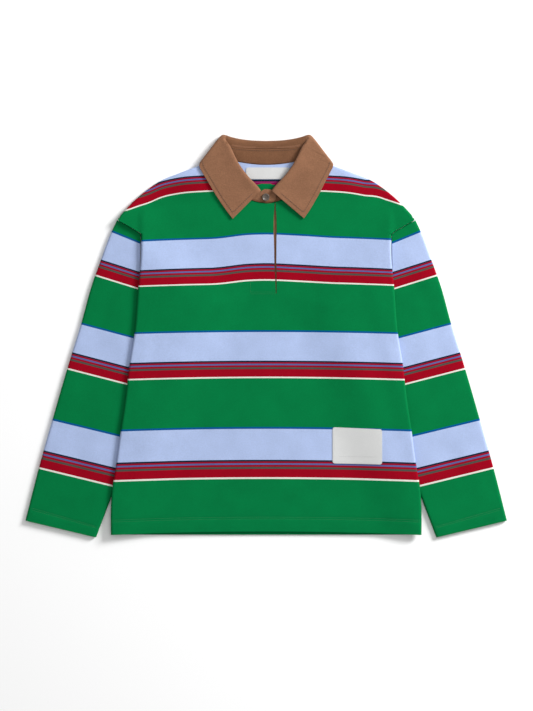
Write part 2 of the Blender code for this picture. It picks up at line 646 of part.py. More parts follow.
def main():
    for thing in list(bpy.data.objects):
        bpy.data.objects.remove(thing, do_unlink=True)
    jersey = make_material("green jersey", (0.0, 0.2, 0.055), 0.85)
    front_grid = panel("front_panel", True, jersey)
    panel("back_panel", False, jersey)
    sleeve("sleeve_left", -1, jersey)
    sleeve("sleeve_right", 1, jersey)
    twill = make_material("tan twill", (0.38, 0.18, 0.09), 0.9)
    collar_stand(twill)
    collar_fall(twill)
    laid_patch("under_placket", UNDER_PLACKET, lambda x, y: UNDER_PLACKET_Z, FACING, (2, 6), twill)
    button(make_material("horn button", (0.2, 0.15, 0.12), 0.35))
    tape = make_material("woven label", (0.74, 0.73, 0.7), 0.7)
    laid_patch("neck_label", NECK_LABEL, on_panel(back_height, LABEL), LABEL, (8, 3), tape)
    laid_patch("size_tab", SIZE_TAB, on_panel(back_height, LABEL), LABEL, (2, 2), tape)
    laid_patch("hem_label", HEM_LABEL, on_panel(reading(front_grid), LABEL), LABEL, (12, 9), tape)


main()
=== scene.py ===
"""A child's long-sleeve polo shirt of striped jersey, laid flat: its cloth, collar, trims and light.

X runs across the shirt, Y up towards the collar, Z up from the table. Sizes are in millimetres and
MM turns them into metres where a mesh is made. "out" is a distance from the centre line.
"""

import bisect
import math

import bpy
import numpy as np
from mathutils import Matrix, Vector, noise


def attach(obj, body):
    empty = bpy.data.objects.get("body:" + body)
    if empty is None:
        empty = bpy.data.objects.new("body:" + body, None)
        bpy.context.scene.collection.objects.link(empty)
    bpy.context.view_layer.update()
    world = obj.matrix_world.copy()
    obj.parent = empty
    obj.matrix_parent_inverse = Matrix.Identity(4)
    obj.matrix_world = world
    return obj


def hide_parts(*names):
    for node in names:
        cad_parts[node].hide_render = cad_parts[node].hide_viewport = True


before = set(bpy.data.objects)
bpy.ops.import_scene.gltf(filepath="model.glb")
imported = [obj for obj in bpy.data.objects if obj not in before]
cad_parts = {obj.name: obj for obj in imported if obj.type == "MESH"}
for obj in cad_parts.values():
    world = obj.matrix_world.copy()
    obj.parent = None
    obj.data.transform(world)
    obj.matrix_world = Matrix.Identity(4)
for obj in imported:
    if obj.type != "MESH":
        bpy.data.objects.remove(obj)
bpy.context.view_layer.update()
MM = 0.001


# The body cloth: cotton jersey knitted in stripe groups, 1.5 mm thick. The stripes are read from a
# pattern length in each piece's UV map, and the knit from the cloth's own place.

JERSEY = 1.5
SEAM = 0.3                  # gap between joined cloths
LAYERS = 4.5                # from the middle of a lower wall to the middle of the one above it
FOLD = 2.8                  # how far a turned edge takes to come round
TUBE = LAYERS + JERSEY
STRIPES = [  # width, colour, from the top of a group down
    (2.3, (0.002, 0.080, 0.250)), (42.2, (0.395, 0.485, 0.725)), (2.2, (0.006, 0.018, 0.040)),
    (2.5, (0.290, 0.004, 0.016)), (2.2, (0.080, 0.110, 0.300)), (3.0, (0.290, 0.004, 0.016)),
    (2.5, (0.065, 0.070, 0.060)), (11.5, (0.294, 0.0015, 0.011)), (2.3, (0.720, 0.700, 0.640)),
    (73.2, (0.0008, 0.172, 0.047))]
REPEAT = sum(width for width, colour in STRIPES)


def new_material(name, inputs):
    """A new material, with its tree of nodes and its shader, whose inputs are given by name."""
    material = bpy.data.materials.new(name)
    material.use_nodes = True
    shader = material.node_tree.nodes["Principled BSDF"]
    for key, value in inputs.items():
        shader.inputs[key].default_value = value
    return material, material.node_tree, shader


def node_group(name, kind, sockets):
    """A new tree of nodes, with the label, direction and type of each of its own sockets."""
    tree = bpy.data.node_groups.new(name, kind)
    for label, way, socket in sockets:
        tree.interface.new_socket(label, in_out=way, socket_type="NodeSocket" + socket)
    return tree


def add_node(tree, kind, inputs=None, **settings):
    """A new node with its settings, and with a value or a link for each input that is given."""
    node = tree.nodes.new(kind)
    for key, value in settings.items():
        setattr(node, key, value)
    for key, value in (inputs or {}).items():
        if isinstance(value, bpy.types.NodeSocket):
            tree.links.new(value, node.inputs[key])
        else:
            node.inputs[key].default_value = value
    return node


def math_node(tree, operation, *values):
    """The result of an operation on values or outputs."""
    node = add_node(tree, "ShaderNodeMath", dict(enumerate(values)), operation=operation)
    return node.outputs[0]


def noise_node(tree, place, scale, detail=2.0):
    """Soft noise at a place."""
    inputs = {"Vector": place, "Scale": scale, "Detail": detail}
    return add_node(tree, "ShaderNodeTexNoise", inputs).outputs["Fac"]


def make_cloth_grain():
    """Group for woven and knitted cloth: fine ribs and rows, lint, and a soft change of shade."""
    tree = node_group("cloth grain", "ShaderNodeTree", [
        ("Rib pitch", "INPUT", "Float"), ("Row pitch", "INPUT", "Float"),
        ("Lint scale", "INPUT", "Float"), ("Height", "OUTPUT", "Float"), ("Shade", "OUTPUT", "Float")])
    given = add_node(tree, "NodeGroupInput").outputs
    place = add_node(tree, "ShaderNodeTexCoord").outputs["Object"]
    split = add_node(tree, "ShaderNodeSeparateXYZ", {0: place})
    wobble = noise_node(tree, place, 160.0)
    waves = []
    for axis, pitch in ((0, "Rib pitch"), (1, "Row pitch")):
        turns = math_node(tree, "DIVIDE", split.outputs[axis], given[pitch])
        loose = math_node(tree, "ADD", turns, wobble)
        waves.append(math_node(tree, "SINE", math_node(tree, "MULTIPLY", loose, math.tau)))
    ribs = math_node(tree, "ADD", waves[0], math_node(tree, "MULTIPLY", waves[1], 0.6))
    fuzz = math_node(tree, "MULTIPLY", noise_node(tree, place, given["Lint scale"], 4.0), 3.0)
    broad = math_node(tree, "MULTIPLY", noise_node(tree, place, 34.0, 3.0), 0.45)
    fine = math_node(tree, "MULTIPLY", noise_node(tree, place, 520.0, 3.0), 0.55)
    add_node(tree, "NodeGroupOutput", {"Height": math_node(tree, "ADD", ribs, fuzz),
                                       "Shade": math_node(tree, "ADD", broad, fine)})
    return tree


CLOTH_GRAIN = make_cloth_grain()


def add_grain(tree, shader, colour, rib, row, lint, depth, light, dark):
    """Lays the grain group over a cloth colour, for its bump and its soft mottling."""
    grain = add_node(tree, "ShaderNodeGroup",
                     {"Rib pitch": rib * MM, "Row pitch": row * MM, "Lint scale": lint},
                     node_tree=CLOTH_GRAIN).outputs
    bump = add_node(tree, "ShaderNodeBump",
                    {"Strength": 0.8, "Distance": depth * MM, "Height": grain["Height"]})
    level = add_node(tree, "ShaderNodeMapRange", {
        "Value": grain["Shade"], "From Min": 0.3, "From Max": 0.7, "To Min": dark, "To Max": light})
    tint = add_node(tree, "ShaderNodeVectorMath", {0: colour, "Scale": level.outputs[0]},
                    operation="SCALE")
    tree.links.new(bump.outputs["Normal"], shader.inputs["Normal"])
    tree.links.new(tint.outputs[0], shader.inputs["Base Color"])


def make_jersey(name, stripes):
    """Striped jersey, from widths and colours that start at pattern length 0."""
    material, tree, shader = new_material(name, {
        "Roughness": 0.88, "Sheen Weight": 0.015, "Sheen Roughness": 0.5, "Specular IOR Level": 0.03})
    uv = add_node(tree, "ShaderNodeUVMap", uv_map="pattern")
    split = add_node(tree, "ShaderNodeSeparateXYZ", {0: uv.outputs[0]})
    turns = math_node(tree, "DIVIDE", split.outputs[1], REPEAT * MM)
    ramp = add_node(tree, "ShaderNodeValToRGB", {0: math_node(tree, "FRACT", turns)})
    ramp.color_ramp.interpolation = "CONSTANT"
    start = 0.0
    for i, (width, colour) in enumerate(stripes):
        stops = ramp.color_ramp.elements
        stop = stops[i] if i < 2 else stops.new(start / REPEAT)
        stop.position = start / REPEAT
        stop.color = (*colour, 1.0)
        start += width
    add_grain(tree, shader, ramp.outputs[0],
              rib=1.0, row=0.8, lint=1400.0, depth=0.10, light=1.09, dark=0.90)
    return material


def curve_of(table, key, value, made={}):
    """Places, values and slopes of a table's column, worked out once."""
    known = (id(table), key, value)
    if known not in made:
        rows = sorted(table, key=lambda row: row[key])
        keys = [row[key] for row in rows]
        values = [row[value] for row in rows]
        made[known] = keys, values, [float(s) for s in np.gradient(values, keys)]
    return made[known]


def cubic(t, start, leaving, end, arriving):
    """A point at t, from 0 to 1, of the smooth curve with these ends and slopes."""
    return ((2 * t**3 - 3 * t**2 + 1) * start + (t**3 - 2 * t**2 + t) * leaving
            + (3 * t**2 - 2 * t**3) * end + (t**3 - t**2) * arriving)


def smooth(table, at, key=0, value=1):
    """Reads a table's value column at a place on its key column, as a smooth curve through its rows."""
    keys, values, slopes = curve_of(table, key, value)
    i = min(max(bisect.bisect_left(keys, at) - 1, 0), len(keys) - 2)
    span = keys[i + 1] - keys[i]
    t = min(max((at - keys[i]) / span, 0.0), 1.0)
    return cubic(t, values[i], span * slopes[i], values[i + 1], span * slopes[i + 1])


def straight(table, at, value=1):
    """Reads a table's value column at a place on its first column, as straight pieces."""
    return float(np.interp(at, [row[0] for row in table], [row[value] for row in table]))


def ease(t):
    """Goes smoothly from 0 to 1."""
    t = min(max(t, 0.0), 1.0)
    return t * t * (3 - 2 * t)


def lerp(a, b, t):
    return a + (b - a) * t


def side_of(line_start, line_end, x, y):
    """Distance of a point from a line, more than nought on the line's left."""
    dx, dy = line_end[0] - line_start[0], line_end[1] - line_start[1]
    return (dx * (y - line_start[1]) - dy * (x - line_start[0])) / math.hypot(dx, dy)


FOLD_TAPER = 0.35           # how much lower a fold's ends are than its middle


def relief(folds, x, y):
    """Height that a table of soft folds (x0, y0, x1, y1, half width, rise) adds at a point."""
    total = 0.0
    for x0, y0, x1, y1, half, rise in folds:
        dx, dy = x1 - x0, y1 - y0
        t = min(max(((x - x0) * dx + (y - y0) * dy) / (dx * dx + dy * dy), 0.0), 1.0)
        away = math.hypot(x - x0 - t * dx, y - y0 - t * dy) / half
        if away < 3:
            total += rise * math.exp(-away * away) * (1 - FOLD_TAPER * abs(2 * t - 1))
    return total


def ripple(x, y, size, amount):
    """The slight unevenness of cloth that was smoothed out by hand."""
    return amount * noise.noise(Vector((x / size, y / size, 3.1)))


def in_scene(name, data):
    """A new object in the scene."""
    made = bpy.data.objects.new(name, data)
    bpy.context.scene.collection.objects.link(made)
    return made


def shell(name, grid, pattern, material, up=None, down=None, holes=(), wrap=False, upper=None):
    """A thin wall of cloth from a grid of middle points. Its UV map holds the cloth's own lengths,
    which may differ on its upper face."""
    points = np.array(grid, dtype=float)
    rows, cols = points.shape[:2]
    if wrap:
        across = np.roll(points, -1, 1) - np.roll(points, 1, 1)
    else:
        across = np.gradient(points, axis=1)
    normal = np.cross(across, np.gradient(points, axis=0))
    normal /= np.linalg.norm(normal, axis=2)[..., None]
    half = np.full((rows, cols), JERSEY / 2)
    up = half if up is None else np.asarray(up, dtype=float)
    down = half if down is None else np.asarray(down, dtype=float)
    vertices = np.concatenate([(points + normal * up[..., None]).reshape(-1, 3),
                               (points - normal * down[..., None]).reshape(-1, 3)]) * MM
    lengths = [np.array(p, dtype=float).reshape(-1, 2) * MM for p in (upper or pattern, pattern)]
    lengths = np.concatenate(lengths)
    count = rows * cols
    faces, edges = [], {}
    for r in range(rows - 1):
        for c in range(cols if wrap else cols - 1):
            if (r, c) in holes:
                continue
            d = (c + 1) % cols
            ring = [r * cols + c, r * cols + d, (r + 1) * cols + d, (r + 1) * cols + c]
            faces.append(ring)
            faces.append([i + count for i in reversed(ring)])
            for a, b in zip(ring, ring[1:] + ring[:1]):
                if (b, a) in edges:
                    del edges[b, a]
                else:
                    edges[a, b] = True
    faces += [[b, a, a + count, b + count] for a, b in edges]
    used = np.unique(np.array(faces))
    place = np.zeros(2 * count, dtype=int)
    place[used] = np.arange(len(used))
    faces = place[np.array(faces)]
    mesh = bpy.data.meshes.new(name)
    mesh.from_pydata(vertices[used].tolist(), [], faces.tolist())
    uv = mesh.uv_layers.new(name="pattern")
    uv.data.foreach_set("uv", lengths[used][faces.reshape(-1)].reshape(-1))
    mesh.materials.append(material)
    mesh.shade_smooth()
    mesh.set_sharp_from_angle(angle=math.radians(50))
    return in_scene(name, mesh)


jersey = make_jersey("striped jersey", STRIPES)


# Back panel: one piece of jersey, lying on the table. Its sides climb on to the sleeves that lie
# under them, and its neck on to the back of the collar. The hem is turned up inside.

HEM_Y = -298.7
HEM_DEPTH = 21.0
HEM_TURN = 0.8              # what the turned-up layer adds to a wall
NECK_OUT = 66.0
NECK_Y = 267.0
FRONT_NECK_Y = 198.2
BACK_NECK_Y = 256.2
ARMHOLE = (187.8, 152.4)
COVERED = (187.6, 120.9)    # from here down the body lies on the sleeve
COVERED_END = (COVERED[0] - 60, COVERED[1] - 60)    # second point of the line of that change
SHOULDER_END = (221.9, 175.4)
UNDERARM = (129.0, 32.0)
CUFF_OUTER = (360.6, -277.7)
CUFF_INNER = (256.1, -302.6)
SETTLE = 20.0               # width over which the body climbs on to the sleeve
CLEARANCE = 16.0            # how far before the sleeve's inner edge that climb is over
FALL_LIFT = 2.5             # what the back of the collar lifts the back panel by
CLIMB_Y = (200.0, 30.0)     # where the climb on to the collar starts, and how far it takes
CLIMB_OUT = (150.0, 34.0)   # how far out it ends, and over what width
SLIT_END_Y = 63.5
SLIT_X = 13.0
SLIT = [  # y, left x, right x
    (60.0, 14.6, 15.4), (84.0, 13.6, 15.7), (109.0, 12.2, 15.3), (133.0, 11.8, 15.4),
    (160.0, 11.0, 15.6), (180.0, 11.6, 15.1), (200.0, 12.9, 13.9)]
BODY_EDGE = [  # y, out
    (HEM_Y, 232.8), (-261.6, 232.8), (-234.6, 231.3), (-191.1, 224.4), (-141.6, 217.8),
    (-96.6, 211.1), (-41.9, 204.6), (3.9, 197.3), (69.9, 192.0), (120.9, 187.6), (152.4, 187.8)]
SHOULDER = [  # out, y
    (NECK_OUT, NECK_Y), (100.8, 254.0), (131.9, 242.4), (156.8, 232.4), (181.8, 215.4),
    (196.8, 202.4), (210.8, 188.0), SHOULDER_END]
BODY_STRIPES = [  # y at the centre line, pattern length
    (-304.0, 430.5), (-213.0, 357.0), (-136.8, 287.8), (-62.2, 213.1), (8.2, 143.9),
    (81.6, 69.2), (152.2, 0.0), (215.7, -74.7), (239.8, -99.6), (262.0, -121.0)]
SHOULDER_DROP = [  # out, how much lower the top stripes run there
    (0.0, 0.0), (91.8, -1.2), (131.9, 2.2), (156.8, 7.8), (176.9, 16.3), (191.9, 21.3), (209.9, 27.7),
    (222.0, 31.0)]
BOW = (2.6, 4.8)            # how far the stripes sag at BOW_OUT, low down and from BOW_Y up
BOW_OUT = 180.0
BOW_Y = 140.0
CHEST_Y = (55.0, 25.0, 192.0, 30.0)     # where the chest starts and its run, where it ends and its run
CHEST_LEFT = (3.6, 25.0, 60.0)  # how much more they sag there, from how far out, and its run
CHEST_RIGHT = (1.4, 50.0, 60.0)
CHEST_MIDDLE = (2.4, 45.0)  # how much less they sag in the middle, and its half width
SHOULDER_START = (150.0, 34.0)  # height from which the drop of the shoulders holds, and its run
RIGHT_RISE = (6.0, 145.0, 30.0) # how much less they drop at the right shoulder, as CHEST_LEFT
TURN = [0.0, 15.0, 30.0, 45.0, 60.0, 75.0]      # degrees round a turned edge
SHOULDER_COLUMNS = 36
NECK_COLUMNS = 16
BODY_ROWS = 96
UPPER_ROWS = 40
SLIT_ROWS = 26


def on_sleeve(x, y, settle=SETTLE):
    """How far the body has climbed on to the sleeve under it, from 0 on the table to 1."""
    out = abs(x)
    past_inner = CLEARANCE - side_of(CUFF_INNER, UNDERARM, out, y)
    below_armhole = side_of(COVERED, COVERED_END, out, y)
    return ease((min(past_inner, below_armhole) + settle) / settle)


def on_collar(x, y):
    """How far the back panel has climbed on to the back of the collar, from 0 to 1."""
    (start, start_run), (end, end_run) = CLIMB_Y, CLIMB_OUT
    return ease((y - start) / start_run) * ease((end - abs(x)) / end_run)


def back_height(x, y):
    """Middle of the back panel's wall above the table."""
    return JERSEY / 2 + (TUBE + SEAM) * on_sleeve(x, y) + FALL_LIFT * on_collar(x, y)


def neck_line(out, front):
    """Height up the shirt of the front or back neckline."""
    if front:
        return NECK_Y - (NECK_Y - FRONT_NECK_Y) * math.sqrt(max(1 - (out / NECK_OUT) ** 2, 0))
    return lerp(BACK_NECK_Y, NECK_Y, (out / NECK_OUT) ** 2)


def growing(at, amount, start, run):
    """Goes smoothly from 0 at start to the amount a run further on."""
    return amount * ease((at - start) / run)


def body_pattern(x, y):
    """Cloth lengths of a point of the body: across, and down the stripes."""
    bow = lerp(*BOW, ease(y / BOW_Y)) * (x / BOW_OUT) ** 2
    start, start_run, end, end_run = CHEST_Y
    chest = ease((y - start) / start_run) * ease((end - y) / end_run)
    less, half = CHEST_MIDDLE
    bow += chest * (growing(-x, *CHEST_LEFT) + growing(x, *CHEST_RIGHT)
                    - less * math.exp(-(x / half) ** 2))
    shoulder = smooth(SHOULDER_DROP, abs(x)) - growing(x, *RIGHT_RISE)
    drop = lerp(bow, shoulder, growing(y, 1.0, *SHOULDER_START))
    return x, straight(BODY_STRIPES, y + drop)


def turn_shift(degrees):
    """How far in from its edge a turned cloth is, at an angle round the turn."""
    return FOLD * (1 - math.cos(math.radians(degrees)))


def half_columns(inner_x):
    """Columns of one half, from the side to the inner line: degrees turned, place, and top."""
    columns = [(turn, 0.0, SHOULDER_END) for turn in TURN]
    for i in range(1, SHOULDER_COLUMNS + 1):
        t = i / SHOULDER_COLUMNS
        out = lerp(SHOULDER_END[0], NECK_OUT, t)
        columns.append((90.0, t, (out, smooth(SHOULDER, out))))
    last = math.acos(inner_x / NECK_OUT)
    for i in range(1, NECK_COLUMNS + 1):
        columns.append((90.0, 1.0 + i / NECK_COLUMNS,
                        (NECK_OUT * math.cos(last * i / NECK_COLUMNS), None)))
    return columns


def column_out(column, edge):
    """Distance from the centre line of a column, where the body edge is at the distance edge."""
    turn, place, top = column
    if turn < 90.0:
        return edge - turn_shift(turn)
    if place <= 1.0:
        share = (place - 1 / SHOULDER_COLUMNS) / (1 - 1 / SHOULDER_COLUMNS)
        return lerp(edge - FOLD, NECK_OUT, share)
    return top[0]


def slit_x(column, left_columns, y):
    """Place of the slit's edge where a column of the front panel runs along it, otherwise None."""
    if column == left_columns - 1:
        return smooth(SLIT, y, 0, 1)
    return smooth(SLIT, y, 0, 2) if column == left_columns else None


def seam_height(x, y, turn, strength, height, sign):
    """Height of a panel's wall, brought to the seam at mid height where its edge turns."""
    middle = (back_height(x, y) + front_height(x, y)) / 2
    drop = (height(x, y) - middle - sign * SEAM / 2) * (1 - math.sin(math.radians(turn)))
    return height(x, y) - drop * strength


def upper_rows(columns, front, height, sign, left_columns):
    """Rows from the armhole up to the shoulder and the neckline."""
    rows = []
    steps = [(s, 90.0) for s in np.linspace(0, 0.965, UPPER_ROWS)[1:]]
    steps += [(1.0, t) for t in reversed(TURN)]
    for s, shoulder_turn in steps:
        row = []
        for i, (side, column) in enumerate(columns):
            turn, place, top = column
            base_out = column_out(column, ARMHOLE[0] - JERSEY / 2)
            top_out = top[0] - turn_shift(turn) if turn < 90.0 else top[0]
            top_y = neck_line(top[0], front) if top[1] is None else top[1]
            back_off = turn_shift(shoulder_turn) if s == 1.0 else FOLD * s
            y = lerp(ARMHOLE[1], top_y - back_off, s)
            strength = 1.0 if (s == 1.0 and place <= 1.0) else 0.0
            x = slit_x(i, left_columns, y) if front else None
            x = side * lerp(base_out, top_out, s) if x is None else x
            row.append((x, y, seam_height(x, y, shoulder_turn, strength, height, sign)))
        rows.append(row)
    return rows


EDGE_DEPTHS = [0.0, 1.2, 4.0, 8.0, 12.0, 15.0, 17.0, 18.1, 19.0, 19.9, 20.8, 21.6, 22.6, 24.0, 26.0]
HEM_ROWS = (19.3, 22.2)     # the two rows of stitches, above the edge
SEWN_END = 30.0             # from this depth on the sewing no longer shows
SWELL = 0.3
PUCKER = 0.16
PUCKER_RUN = 7.0            # along the edge
PUCKER_AT = (19.0, 9.0)     # depth and half width
GROOVE = (0.34, 0.95)       # depth and half width of the groove that a row draws


def sewn_edge(depth, along, rows):
    """Height that a turned-up edge adds: full between edge and stitches, drawn in at each row."""
    if depth > SEWN_END:
        return 0.0
    swell = SWELL * math.sin(math.pi * min(depth / rows[0], 1.0)) ** 0.6
    pucker = PUCKER * noise.noise(Vector((along / PUCKER_RUN, 1.7, 0.3)))
    pucker *= math.exp(-((depth - PUCKER_AT[0]) / PUCKER_AT[1]) ** 2)
    deep, wide = GROOVE
    return swell + pucker - sum(deep * math.exp(-((depth - row) / wide) ** 2) for row in rows)


def body_panel(name, front):
    """One body panel: rows up from the hem, each from the left side seam to the right one."""
    left = half_columns(-SLIT_X if front else 0.0)
    right = half_columns(SLIT_X)[::-1] if front else half_columns(0.0)[-2::-1]
    height, sign = (front_height, 1) if front else (back_height, -1)
    columns = [(-1, c) for c in left] + [(1, c) for c in right]
    turn_up = HEM_Y + HEM_DEPTH
    ys = [HEM_Y + depth for depth in EDGE_DEPTHS]
    ys += list(np.linspace(turn_up + 7, SLIT_END_Y, BODY_ROWS)) + \
        list(np.linspace(SLIT_END_Y, ARMHOLE[1], SLIT_ROWS))[1:]
    grid, turned = [], []
    for y in ys:
        row = []
        for i, (side, column) in enumerate(columns):
            edge = smooth(BODY_EDGE, y) - JERSEY / 2
            x = slit_x(i, len(left), y) if front else None
            x = side * column_out(column, edge) if x is None else x
            arch = hem_arch(x, y, edge) if front else 0.0
            sewn = sewn_edge(y - HEM_Y, x, HEM_ROWS)
            if not front:
                sewn = max(-sewn, 0.0)      # only the grooves, so that it stays on the table
            sewn *= math.sin(math.radians(column[0])) ** 4
            row.append((x, y + arch, seam_height(x, y, column[0], 1.0, height, sign) + sewn))
        grid.append(row)
        hem = HEM_TURN if y < turn_up else 0.0
        turned.append([JERSEY / 2 + (hem if c[0] == 90.0 else 0.0) for s, c in columns])
    grid += upper_rows(columns, front, height, sign, len(left))
    holes = {(r, len(left) - 1) for r in range(ys.index(SLIT_END_Y), len(grid))}
    turned += [[JERSEY / 2] * len(columns)] * (len(grid) - len(turned))
    pattern = [[body_pattern(x, y) for x, y, z in row] for row in grid]
    if front:
        return shell(name, grid, pattern, jersey, down=turned, holes=holes)
    inside = [[(x, inner_length(x, y, p)) for (x, p), (a, y, z) in zip(marks, row)]
              for marks, row in zip(pattern, grid)]
    return shell(name, grid, pattern, jersey, up=turned, upper=inside)


INNER_NECK = [  # y, pattern length of the inner face at the neck, where the stripes meet closer
    (190.0, -66.0), (228.2, -73.0), (228.5, -94.9), (232.4, -97.2), (234.6, -99.4), (262.0, -116.0)]
INNER_OUT = 62.0
INNER_Y = 192.0


def inner_length(x, y, length):
    """Pattern length on the back's inner face, as it shows between the collar's leaves."""
    return length if abs(x) > INNER_OUT or y < INNER_Y else straight(INNER_NECK, y)


# Front panel: the same cut with a deeper neck and a slit under it. It lies on the back, and where
# it passes over the sleeves it stands two layers higher.

HEM_ARCH = 4.8
ARCH_END = -230.0
ARCH_RUN = 60.0
FRONT_SETTLE = 75.0         # the front bridges the step on to the sleeve more gently than the back
FOLD_SHARE = 0.6            # how much of the solid's folds a thin cloth keeps
BODY_FOLDS = [  # x0, y0, x1, y1, half width, rise
    (141, 64, 186, -115, 16, -1.2), (186, -115, 205, -186, 14, -1.0),
    (165, 60, 205, -110, 12, 1.0), (-24, 62, -24, 34, 12, -0.8),
    (76, 62, 76, 10, 14, -0.8), (36, 76, 36, 8, 12, 0.9),
    (-99, -86, -99, -116, 16, -0.8), (10, -86, 10, -112, 14, -0.7),
    (-54, -236, 20, -250, 16, -0.8), (31, -221, 62, -250, 14, 1.0),
    (86, -256, 120, -240, 14, -0.8), (-178, 30, -194, -90, 10, 0.9)]
STEP_RISE = 2.4             # of the step at the dropped shoulder
STEP_OUT = 192.0
STEP_RAMP = 7.0             # width of its outer slope
STEP_FADE = 26.0            # width over which it dies out inwards
STEP_Y = (90.0, 60.0, 200.0, 30.0)      # where it starts and how fast, where it ends and how fast
FOLD_CLEAR = (236.0, 30.0)  # how far out the folds have died out, and over what width
BODY_RIPPLE = (46.0, 0.3)   # width and height of its unevenness
INNER_FROM = 0.2            # metres up the shirt


def hem_arch(x, y, edge):
    """How much higher the front hem runs between its ends, dying out up the shirt."""
    return HEM_ARCH * (1 - (x / edge) ** 2) * ease((ARCH_END - y) / ARCH_RUN)


def shoulder_step(x, y):
    """The soft step where the body stands above the dropped shoulder, dying out up the shoulder."""
    inside = STEP_OUT - abs(x)
    start, start_run, end, end_run = STEP_Y
    return STEP_RISE * ease(inside / STEP_RAMP) * math.exp(-max(inside, 0) / STEP_FADE) * \
        ease((end - y) / end_run) * ease((y - start) / start_run)


def front_height(x, y):
    """Middle of the front panel's wall above the table."""
    clear = ease((FOLD_CLEAR[0] - abs(x)) / FOLD_CLEAR[1])
    lift = (TUBE + SEAM) * (on_sleeve(x, y, FRONT_SETTLE) - on_sleeve(x, y))
    return back_height(x, y) + lift + LAYERS + shoulder_step(x, y) + \
        (FOLD_SHARE * relief(BODY_FOLDS, x, y) + ripple(x, y, *BODY_RIPPLE)) * clear


back = body_panel("back_cloth", False)
MAGENTA = (0.250, 0.004, 0.070)     # seen inside the neck, where the photo shows no white line
INNER_MAGENTA = (3, 5, 6, 7, 8)     # the stripes of a group that it takes the place of there
inner_jersey = make_jersey("inside of the striped jersey", [
    (width, MAGENTA if i in INNER_MAGENTA else colour) for i, (width, colour) in enumerate(STRIPES)])
back.data.materials.append(inner_jersey)
for face in back.data.polygons:
    inside_neck = abs(face.center.x) < NECK_OUT * MM and face.center.y > INNER_FROM
    face.material_index = int(inside_neck and face.normal.z > 0.5)
front = body_panel("front_cloth", True)
for piece, node, rests in ((back, "back_panel", []), (front, "front_panel", ["back_cloth"])):
    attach(piece, "root")
    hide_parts(node)


# Sleeves: jersey tubes with a turned-up cuff, lying under the sides of the body. They join it at
# the armhole seam, of which the dropped shoulder's end shows.

SLEEVE_EDGE = [  # y, out
    (-277.7, 360.6), (-200.1, 340.8), (-126.6, 320.1), (-51.0, 298.2), (17.9, 276.9),
    (77.4, 260.3), (113.1, 247.4), (156.6, 231.0), (175.1, 222.2)]
SLEEVE_HEAD = (188.7, 97.0)
SLEEVE_FOLDS = [  # as BODY_FOLDS
    (214, 130, 252, 60, 12, 0.9), (236, 60, 262, -20, 12, -0.8), (262, 10, 300, -120, 14, 0.8),
    (262, -120, 286, -215, 14, -0.9), (300, -150, 318, -235, 14, 0.7)]
SLEEVE_STRIPES = [  # y on the outer edge, pattern length, slope inwards in degrees
    (-282.0, 430.5, 13.4), (-198.0, 357.0, 13.7), (-124.4, 287.8, 13.6), (-49.2, 213.1, 14.5),
    (19.4, 143.9, 14.9), (90.8, 69.2, 17.3), (114.4, 44.5, 17.6), (157.8, 0.0, 22.5),
    (175.0, -17.0, 24.0)]
SLEEVE_LENGTH = 478.0
SEEN_END = 0.33             # share of the armhole end that shows outside the body
HEAD_END = 0.56
END_ALONG = (-0.8, -0.6)    # direction across the sleeve at its armhole end
CUFF_START = 0.955          # share of the length where the turned-up cuff starts
SLEEVE_RIPPLE = (38.0, 0.35)    # as BODY_RIPPLE
HEAD_RUN = 1 / 12           # share of the length over which folds and unevenness come in
PLACE_ENDS = (0.05, 0.95)   # outermost places across, next to the turned edges
BODY_CLEAR = (6, 20.0)      # unevenness starts this far outside the body's edge, over this width
STRIPE_STEPS = 6            # rounds that find the stripe a point is on
SLEEVE_ROWS = 90
SLEEVE_PLACES = 30
CUFF_ROWS = (18.4, 21.2)
END_TURN = [90.0, 67.5, 45.0, 22.5, 0.0, -22.5, -45.0, -67.5]


def sleeve_end(w):
    """Plan of the sleeve's armhole end, from the shoulder (0) to the underarm (1)."""
    if w <= SEEN_END:
        s = 1 - w / SEEN_END
        return (lerp(ARMHOLE[0], SHOULDER_END[0], s) - SEAM,
                lerp(ARMHOLE[1], SHOULDER_END[1] - FOLD * s, s) + SEAM)
    if w <= HEAD_END:
        t = (w - SEEN_END) / (HEAD_END - SEEN_END)
        return (lerp(ARMHOLE[0] - SEAM, SLEEVE_HEAD[0], t), lerp(ARMHOLE[1] + SEAM, SLEEVE_HEAD[1], t))
    t = (w - HEAD_END) / (1 - HEAD_END)
    return lerp(SLEEVE_HEAD[0], UNDERARM[0], t), lerp(SLEEVE_HEAD[1], UNDERARM[1], t)


def sleeve_point(w, v):
    """Plan of a sleeve: w from its outer to its inner edge, v from armhole to cuff."""
    top, bottom = sleeve_end(0.0), CUFF_OUTER
    outer_y = lerp(top[1], bottom[1], v)
    outer = (smooth(SLEEVE_EDGE, outer_y), outer_y)
    inner = (lerp(UNDERARM[0], CUFF_INNER[0], v), lerp(UNDERARM[1], CUFF_INNER[1], v))
    end = sleeve_end(w)
    flat_end = (lerp(top[0], UNDERARM[0], w), lerp(top[1], UNDERARM[1], w))
    fade = (1 - v) ** 2
    return (lerp(outer[0], inner[0], w) + (end[0] - flat_end[0]) * fade,
            lerp(outer[1], inner[1], w) + (end[1] - flat_end[1]) * fade)


def sleeve_pattern(out, y):
    """Cloth lengths of a point of the sleeve, along the stripe that passes through it."""
    level = y
    for step in range(STRIPE_STEPS):
        slope = math.tan(math.radians(straight(SLEEVE_STRIPES, level, 2)))
        level = y + slope * (smooth(SLEEVE_EDGE, level) - out)
    return out, straight(SLEEVE_STRIPES, level)


